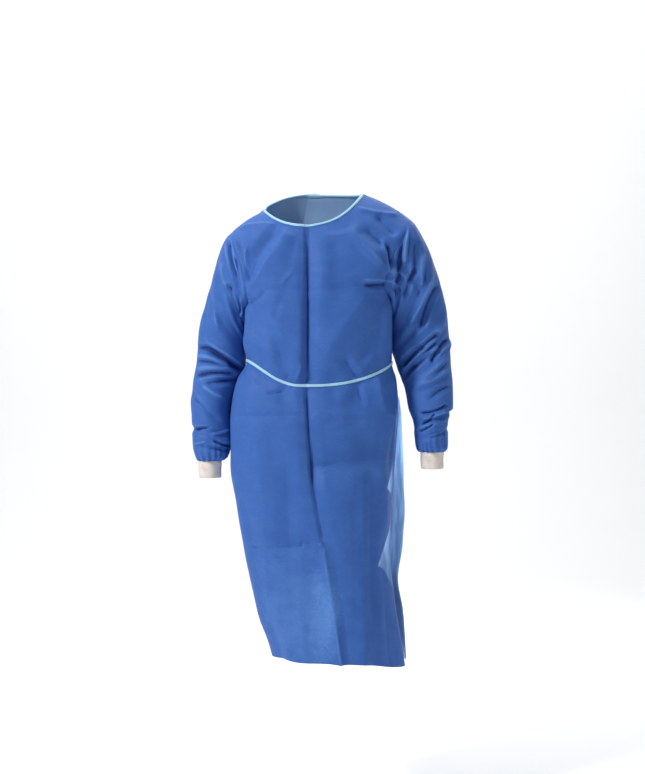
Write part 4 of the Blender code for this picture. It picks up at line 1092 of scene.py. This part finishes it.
def addTail(name, node, tie, sign):
    # a loose end lies on the back below its knot: turn = 90 - sign * aside, and it curls up a little at its end
    end = tailSettings
    share = np.linspace(0, 1, end["points"])
    half = tape["width"] / 2 * (end["narrow"] + (1 - end["narrow"]) * easeStep(share / end["narrowShare"]))
    aside = half[0] + end["gap"] + end["spread"] * share + end["sway"] * np.sin(share * end["swayTurns"]) * share
    turn = knotSettings["turn"] - sign * aside / metresPerDegree(tie["level"])
    places = tie["level"] - end["below"] - tie["drop"] * share
    outward = gownNormal(plainGown, turn, places)
    lift = tie["lift"] + end["rise"] * easeStep(share / end["riseShare"])
    lift = lift + end["curl"] * easeStep((share - 1 + end["curlShare"]) / end["curlShare"])
    centre = outerBack(turn, places) + lift[:, None] * outward
    across = unit(np.cross(outward, unit(np.gradient(centre, axis=0))))
    tilt = (end["tilt"] * np.sin(share * end["tiltTurns"] + sign) * share)[:, None]
    across, outward = (across * np.cos(tilt) + outward * np.sin(tilt),
                       outward * np.cos(tilt) - across * np.sin(tilt))
    u, w = rounded(1, tape["wall"], tape["profile"])
    rings = (centre[:, None] + across[:, None] * (u[None, :] * half[:, None])[..., None]
             + outward[:, None] * (w + tape["wall"] / 2)[None, :, None])
    piece = sweptBand(name, rings, tapeMap(bandLength(centre)), [tapeFinish])
    finishPiece(piece, node)


def addKnot(tie, node):
    # a superellipsoid, |x|^3 + |y|^3 + |z|^3 = 1, with raised diagonal wraps where the two ends cross
    size, level, turn = knotSettings, np.array(tie["level"]), np.array(knotSettings["turn"])
    normal = gownNormal(plainGown, turn, level)
    sideways = unit(np.cross(normal, (0, 0, 1)))
    up = np.cross(sideways, normal)
    aroundIt, downIt = np.meshgrid(np.linspace(0, 2 * np.pi, 49), np.linspace(0.02, np.pi - 0.02, 30))
    x, y, z = np.sin(downIt) * np.cos(aroundIt), np.sin(downIt) * np.sin(aroundIt), np.cos(downIt)
    reach = (np.abs(x) ** 3 + np.abs(y) ** 3 + np.abs(z) ** 3) ** (-1 / 3)
    wrap = 1 + 0.05 * np.sin(6 * (x * 0.8 + z * 1.2)) - 0.10 * np.exp(-((x - 0.5 * z) / 0.16) ** 2)
    x, y, z = (axis * reach * wrap for axis in (x, y, z))
    points = (outerBack(turn, level) + normal * (tie["lift"] + size["depth"] / 2)
              + x[..., None] * sideways * size["width"] / 2
              + y[..., None] * normal * size["depth"] / 2 + z[..., None] * up * size["height"] / 2)
    uv = np.stack([aroundIt * 0.006, downIt * 0.004 + 0.008], axis=-1)
    finishPiece(sweptBand(tie["knot"], points[:, :-1], uv, [tapeFinish]), node)


for which, tie in tails.items():
    for side, sign in (("Left", 1), ("Right", -1)):
        addTail(which + "Tail" + side, which + "_tail_" + side.lower(), tie, sign)
    addKnot(tie, which + "_knot")
print("loose ends and knots made")


# Body panels

panelRows = {"skirt": 150, "waist": 62, "armhole": 58, "shoulder": 32, "skirtTop": -0.46}

# The line of the turned-out edge on the front, in millimetres: height and X
turnedEdge = columnsOf(("z", "x"), metres((
    (-1120, 232), (-1065, 214), (-996, 204), (-938, 198), (-873, 168), (-862, 153), (-818, 170), (-783, 182),
    (-723, 191), (-697, 186), (-681, 175), (-655, 184), (-611, 193), (-562, 195), (-476, 202),
)))
# How much painted light comes through, as pale colour and emission: steps of (amount, from this height, over
# this height), and where it ends
frontLight = {
    "base": 0.30, "steps": ((0.30, -0.90, 0.06), (0.14, -0.72, 0.06)), "edge": 0.003, "rim": 0.38,
    "rimWidth": 0.010, "firstTurn": 290, "firstFade": 10, "lastTurn": 352, "lastFade": 14, "top": -0.47,
    "topFade": 0.02,
}
backLight = {
    "base": 0.24, "steps": ((0.44, -0.98, 0.14), (0.32, -0.72, 0.12)), "rim": 0.28, "rimTurns": 4,
    "turns": 24, "turnFade": 30, "top": -0.43, "topFade": 0.04,
}
# The pressed line at the right of the skirt: its height, the dip of its left end, and the painted shade above it
# and painted light below it
pressedShading = {
    "level": -0.6195, "dip": 0.012, "dipAt": 0.02, "dipWidth": 0.03, "from": 0.002, "fromFade": 0.008,
    "edge": 0.006, "clear": 0.01, "above": 0.110, "below": 0.090, "paintedShade": 0.0011, "paintedLight": 0.0012,
}


def panelLevels():
    # rows from the hem to the neck, close together round the waist tie and spaced by the armhole's own ellipse
    rows = panelRows
    return np.concatenate([
        np.linspace(gown["hem"], rows["skirtTop"], rows["skirt"])[:-1],
        np.linspace(rows["skirtTop"], gown["armpit"], rows["waist"] + 1)[:-1],
        armholeMiddle + armholeHalf * np.cos(np.radians(np.linspace(180, 0, rows["armhole"] + 1))),
        np.linspace(gown["shoulder"], gown["neck"], rows["shoulder"])[1:],
    ])


def lightSteps(z, light):
    # base + sum of amount * easeStep((z - start) / over)
    steps = (amount * easeStep((z - start) / over) for amount, start, over in light["steps"])
    return light["base"] + sum(steps)


def frontGlow(points, turns):
    # outside and inside values of painted light: the front's left edge is turned out below the waist, and light
    # comes through it right of a broken line
    x, z, light = points[..., 0], points[..., 2], frontLight
    past = x - np.interp(z, turnedEdge["z"], turnedEdge["x"])
    right = easeStep(past / light["edge"] + 0.5) * easeStep((turns - light["firstTurn"]) / light["firstFade"])
    rim = 1 - light["rim"] + light["rim"] * np.exp(-np.maximum(past, 0) / light["rimWidth"])
    upper = easeStep((light["top"] - z) / light["topFade"])
    outer = easeStep((light["lastTurn"] - turns) / light["lastFade"])
    return right * rim * (upper * outer) * lightSteps(z, light), 0 * z


def frontShading(points):
    # the pressed line at the right of the skirt: painted shade above it and painted light below it, in metres of
    # relief
    x, z, line = points[..., 0], points[..., 2], pressedShading
    above = z - line["level"] + line["dip"] * np.exp(-(((x - line["dipAt"]) / line["dipWidth"]) ** 2))
    right = easeStep((x - line["from"]) / line["fromFade"]) * (points[..., 1] < 0)
    paintedShade = easeStep(above / line["edge"] + 0.5) * (1 - easeStep((above - line["clear"]) / line["above"]))
    paintedLight = easeStep(-above / line["edge"] + 0.5) * (1 - easeStep((-above - line["clear"]) / line["below"]))
    return right * (line["paintedLight"] * paintedLight - line["paintedShade"] * paintedShade)


def backGlow(points, turns):
    # outside and inside values of painted light: the inside shows light near the outer back's free edge below
    # the waist
    z, light, edge = points[..., 2], backLight, turns - turns[:, :1]
    rim = 1 - light["rim"] + light["rim"] * (1 - easeStep(edge / light["rimTurns"]))
    inward = 1 - easeStep((edge - light["turns"]) / light["turnFade"])
    upper = easeStep((light["top"] - z) / light["topFade"])
    return 0 * z, rim * lightSteps(z, light) * (inward * upper)


def addPanel(name, node, surface, turns, armholes, glow=None, tone=None):
    # one body panel from its surface on a grid of turns, sunk at its armholes and marked with relief and light
    level = np.repeat(levels[:, None], turns.shape[1], axis=1)
    outer = surface(turns, level)
    normal = gownNormal(surface, turns, level)
    inArmhole = (levels >= gown["armpit"] - 1e-9) & (levels <= gown["shoulder"] + 1e-9)
    for edge, side, way in armholes:
        column = 0 if edge == "first" else -1
        edgeNormal = normal[:, column].copy()
        ringTurn = np.linspace(180, 0, panelRows["armhole"] + 1)
        edgeNormal[inArmhole] = mitre(side, ringTurn if way == "front" else 360 - ringTurn)
        outer = edgeDip(outer, normal, edge, edgeNormal, seamDepth(levels), gown["seamWidth"])
    inner = outer - gown["wall"] * unit(normal + gownNormal(plainGown, turns, level))
    uv = np.stack([np.radians(turns) * 0.17, level], axis=-1)
    piece = clothWall(name, outer, inner, normal, uv, False, [clothOutside, paleLitInside])
    finishPiece(piece, node)
    # relief drives painted shade in the hollows and a painted highlight on the ridges; on the front it also
    # carries the pressed line's painted shade and light
    relief = reliefOf(outer, normal, 2, False) + (tone(outer) if tone else 0)
    markPoints(piece, "relief", np.concatenate([relief, -relief]))
    if glow:
        markPoints(piece, "backlit", np.concatenate(glow(outer, turns)))
    return {"turn": turns, "outer": outer, "inner": inner, "normal": normal}


def frontTurns(levels, columns):
    # each half runs from its armhole to the centre crease: turn = 180 + 90 t + cut (1 - t)^2
    cut = armholeCut(levels, gown["armholeFront"])[:, None]
    share = np.linspace(0, 1, columns)[None, :]
    rightHalf = 180 + 90 * share + cut * (1 - share) ** 2
    return np.concatenate([rightHalf, (540 - rightHalf[:, ::-1])[:, 1:]], axis=1)


def backTurns(levels, beside, shared, beyond):
    # the same columns in both backs where they lap
    cut = armholeCut(levels, gown["armholeBack"])[:, None]
    outerEdge = curveThrough(levels, lap["level"], lap["rightEdge"])[:, None]
    underEdge = curveThrough(levels, lap["level"], lap["leftEdge"])[:, None]
    both = outerEdge + (underEdge - outerEdge) * np.linspace(0, 1, shared + 1)
    under = cut + (outerEdge - cut) * np.linspace(0, 1, beside + 1)[:-1]
    outer = underEdge + (180 - cut - underEdge) * np.linspace(0, 1, beyond + 1)[1:]
    return np.concatenate([under, both], axis=1), np.concatenate([both, outer], axis=1)


levels = panelLevels()
frontGrid = addPanel(
    "frontPanel", "front", gownSurface, frontTurns(levels, 82),
    [("first", "right", "front"), ("last", "left", "front")],
    frontGlow, frontShading,
)
underTurns, outerTurns = backTurns(levels, 30, 70, 52)
leftBackGrid = addPanel(
    "leftBackPanel", "back_left", gownSurface, underTurns,
    [("first", "left", "back")],
)
rightBackGrid = addPanel(
    "rightBackPanel", "back_right", outerBack, outerTurns,
    [("last", "right", "back")], backGlow,
)
print("body panels made")


def addSleeve(side):
    # rows close together in the last fifth, where the cloth is gathered
    ringTurn, rows = np.linspace(0, 360, sleeveSettings["columns"] + 1), sleeveSettings["rows"]
    along = np.concatenate([np.linspace(0, 0.80, rows * 3 // 5)[:-1], np.linspace(0.80, 1.0, rows * 2 // 5)])
    turns, places = np.meshgrid(ringTurn, along)
    points = sleeveSurface(side, turns, places)[:, :-1]
    normal = sleeveNormal(side, sleeveSurface, turns, places)[:, :-1]
    sink = seamDepth(armhole(side, ringTurn[:-1])[1])
    points = edgeDip(points, normal, "low", mitre(side, ringTurn[:-1]), sink, gown["seamWidth"])
    inner = points - gown["wall"] * unit(normal + sleeveNormal(side, plainSleeve, turns, places)[:, :-1])
    uv = np.stack([np.radians(turns) * 0.065, -places * 0.6], axis=-1)
    piece = clothWall(side + "Sleeve", points, inner, normal, uv, True, [clothOutside, paleLitInside])
    finishPiece(piece, "sleeve_" + side)
    # relief drives painted shade in the hollows and a painted highlight on the ridges
    relief = reliefOf(points, normal, 3, True)
    markPoints(piece, "relief", np.concatenate([relief, -relief]))


def addCuff(side):
    # ribs: radius = r - taper - depth * (0.5 - 0.5 cos(ribs * angle))^0.7, over a plain inside
    station = {name: sleeves[side]["stations"][name][-1] for name in sleeveColumns}
    knit, hidden = cuffSettings, 0.001
    halfWidth = abs(station["outer"] - station["inner"]) / 2
    centre = (station["outer"] + station["inner"]) / 2, station["middle"], station["outerZ"] + hidden
    around = np.linspace(0, 2 * np.pi, knit["ribs"] * knit["perRib"] + 1)
    angles, downs = np.meshgrid(around, np.linspace(0, 1, knit["rows"]))
    rib = knit["ribDepth"] * (0.5 - 0.5 * np.cos(angles * knit["ribs"])) ** 0.7
    edge = 0.0007 * (np.exp(-downs * 40) + np.exp(-(1 - downs) * 40))
    wave = 0.0004 * np.sin(3 * angles + 9 * downs)

    def tube(inset):
        x = centre[0] + (halfWidth - inset) * np.cos(angles)
        y = centre[1] - (station["halfDepth"] - inset) * np.sin(angles)
        return np.stack([x, y, centre[2] - (knit["height"] + hidden) * downs], axis=-1)[:, :-1]

    outer, inner = tube(knit["taper"] * downs + rib + edge - wave), tube(knit["taper"] * downs + knit["wall"])
    outward = np.stack([np.cos(angles), -np.sin(angles), 0 * angles], axis=-1)[:, :-1]
    uv = np.stack([angles * knit["ribs"] * knit["ribPitch"] / (2 * np.pi), -downs * knit["height"]], axis=-1)
    piece = clothWall(side + "Cuff", outer, inner, outward, uv, True, [knitFinish, knitFinish])
    finishPiece(piece, "cuff_" + side)


addSleeve("right")
addSleeve("left")
for side in ("right", "left"):
    addCuff(side)
print("sleeves and cuffs made")


# Binding and waist tie

def alongRow(grid, row, first, last):
    # a panel's columns on one row between two turns, with points put in at those turns
    turn = grid["turn"][row]
    wanted = np.concatenate([[first], turn[(turn > first + 0.3) & (turn < last - 0.3)], [last]])
    return {key: np.stack([np.interp(wanted, turn, grid[key][row][:, k]) for k in range(3)], axis=-1)
            for key in ("outer", "inner", "normal")}


def neckRow(row):
    # outer, inner and normal points of one row of all panels, from the outer back's edge to the under one's
    first, last = rightBackGrid["turn"][-1][0] + 0.2, leftBackGrid["turn"][-1][-1] - 0.2
    runs = [alongRow(rightBackGrid, row, first, 180), alongRow(frontGrid, row, 180, 360),
            alongRow(leftBackGrid, row, 0, last)]
    return [np.concatenate([run[key][min(k, 1):] for k, run in enumerate(runs)])
            for key in ("outer", "inner", "normal")]


def addBinding():
    # a strip folded over the neck edge: 16 profile points carried along the edge of all three panels
    edgeRow, lowerRow = neckRow(len(levels) - 1), neckRow(len(levels) - 4)
    length = min(len(edgeRow[0]), len(lowerRow[0]))
    outer, inner, normal = (line[:length] for line in edgeRow)
    below = lowerRow[0][:length]
    down = unit(below - outer)
    travelled = bandLength(outer)
    wobble = 0.00025 * np.sin(travelled * 190)[:, None] + 0.0002 * np.sin(travelled * 73 + 1)[:, None]
    near, far = tape["bindingLift"], tape["bindingLift"] + tape["bindingWall"]
    width, crown = tape["width"] + wobble, far + 0.0004

    def side(edge, way):
        # the strip on one side of the cloth, from its free edge to the fold
        places = ((width, near), (width, near + 0.0005), (width - 0.0006, far), (width * 0.5, crown),
                  (0.0004, crown), (-0.0007, far * 0.6))
        return [edge + low * down + way * out * normal for low, out in places]

    middle = (outer + inner) / 2
    rings = np.stack([
        *side(outer, 1), middle - 0.0011 * down, *side(inner, -1)[::-1],
        inner + 0.0006 * down - near * normal, middle - 0.0002 * down, outer + 0.0006 * down + near * normal,
    ], axis=1)
    around = np.array([
        0, 0.0005, 0.001, 0.0045, 0.008, 0.009, 0.010, 0.011, 0.012, 0.0155, 0.019, 0.0195, 0.020,
        0.027, 0.028, 0.029, 0.036,
    ]) - 0.0025
    piece = sweptBand("neckBinding", rings, tapeMap(travelled, around), [tapeFinish])
    finishPiece(piece, "neck_binding")


def addBelt():
    # the waist tie lies on the cloth at the belt's level, from the knot round the front and back to it
    beside = (knotSettings["width"] / 2 + 0.0009) / metresPerDegree(gown["belt"])
    freeEdge = float(curveThrough(np.array(gown["belt"]), lap["level"], lap["rightEdge"]))
    runs = ((outerBack, np.linspace(knotSettings["turn"] + beside, 180, 120)[:-1]),
            (gownSurface, np.linspace(180, 360 + freeEdge - 1.0, 300)),
            (outerBack, np.linspace(freeEdge, knotSettings["turn"] - beside, 70)))
    offsets = np.linspace(-0.5, 0.5, 5) * tape["width"] * 1.02
    strips = []
    for surface, turns in runs:
        turn, aside = np.meshgrid(turns % 360, offsets)
        strips.append(surface(turn, beltLevel(turn) + aside))
    strip = np.concatenate(strips, axis=1)
    middle = strip[2]
    across = strip[4] - strip[0]
    outward = unit(np.cross(np.gradient(middle, axis=0), across))
    outward *= np.sign((outward * (middle - [0.01, 0.01, -0.4])).sum(-1, keepdims=True))
    travelled = bandLength(middle)
    half = tape["width"] / 2 * (1 + 0.03 * np.sin(travelled * 60) + 0.03 * np.sin(travelled * 151 + 1))
    u, w = rounded(1, tape["wall"], tape["profile"])
    places = np.linspace(-0.5, 0.5, 5)
    onCloth = np.stack([
        np.stack([np.interp(u * 0.5, places, strip[:, k, axis]) for axis in range(3)], axis=-1)
        for k in range(len(middle))])
    onCloth = middle[:, None] + (onCloth - middle[:, None]) * (half / (tape["width"] / 2))[:, None, None]
    crest = 0.00018 * np.sin(travelled * 210)[:, None] * (w > 0)
    rings = onCloth + outward[:, None] * (w + tape["wall"] / 2 + tape["lift"] + crest)[..., None]
    finishPiece(sweptBand("waistTie", rings, tapeMap(travelled), [tapeFinish]), "belt")


addBinding()
addBelt()
print("binding and waist tie made")
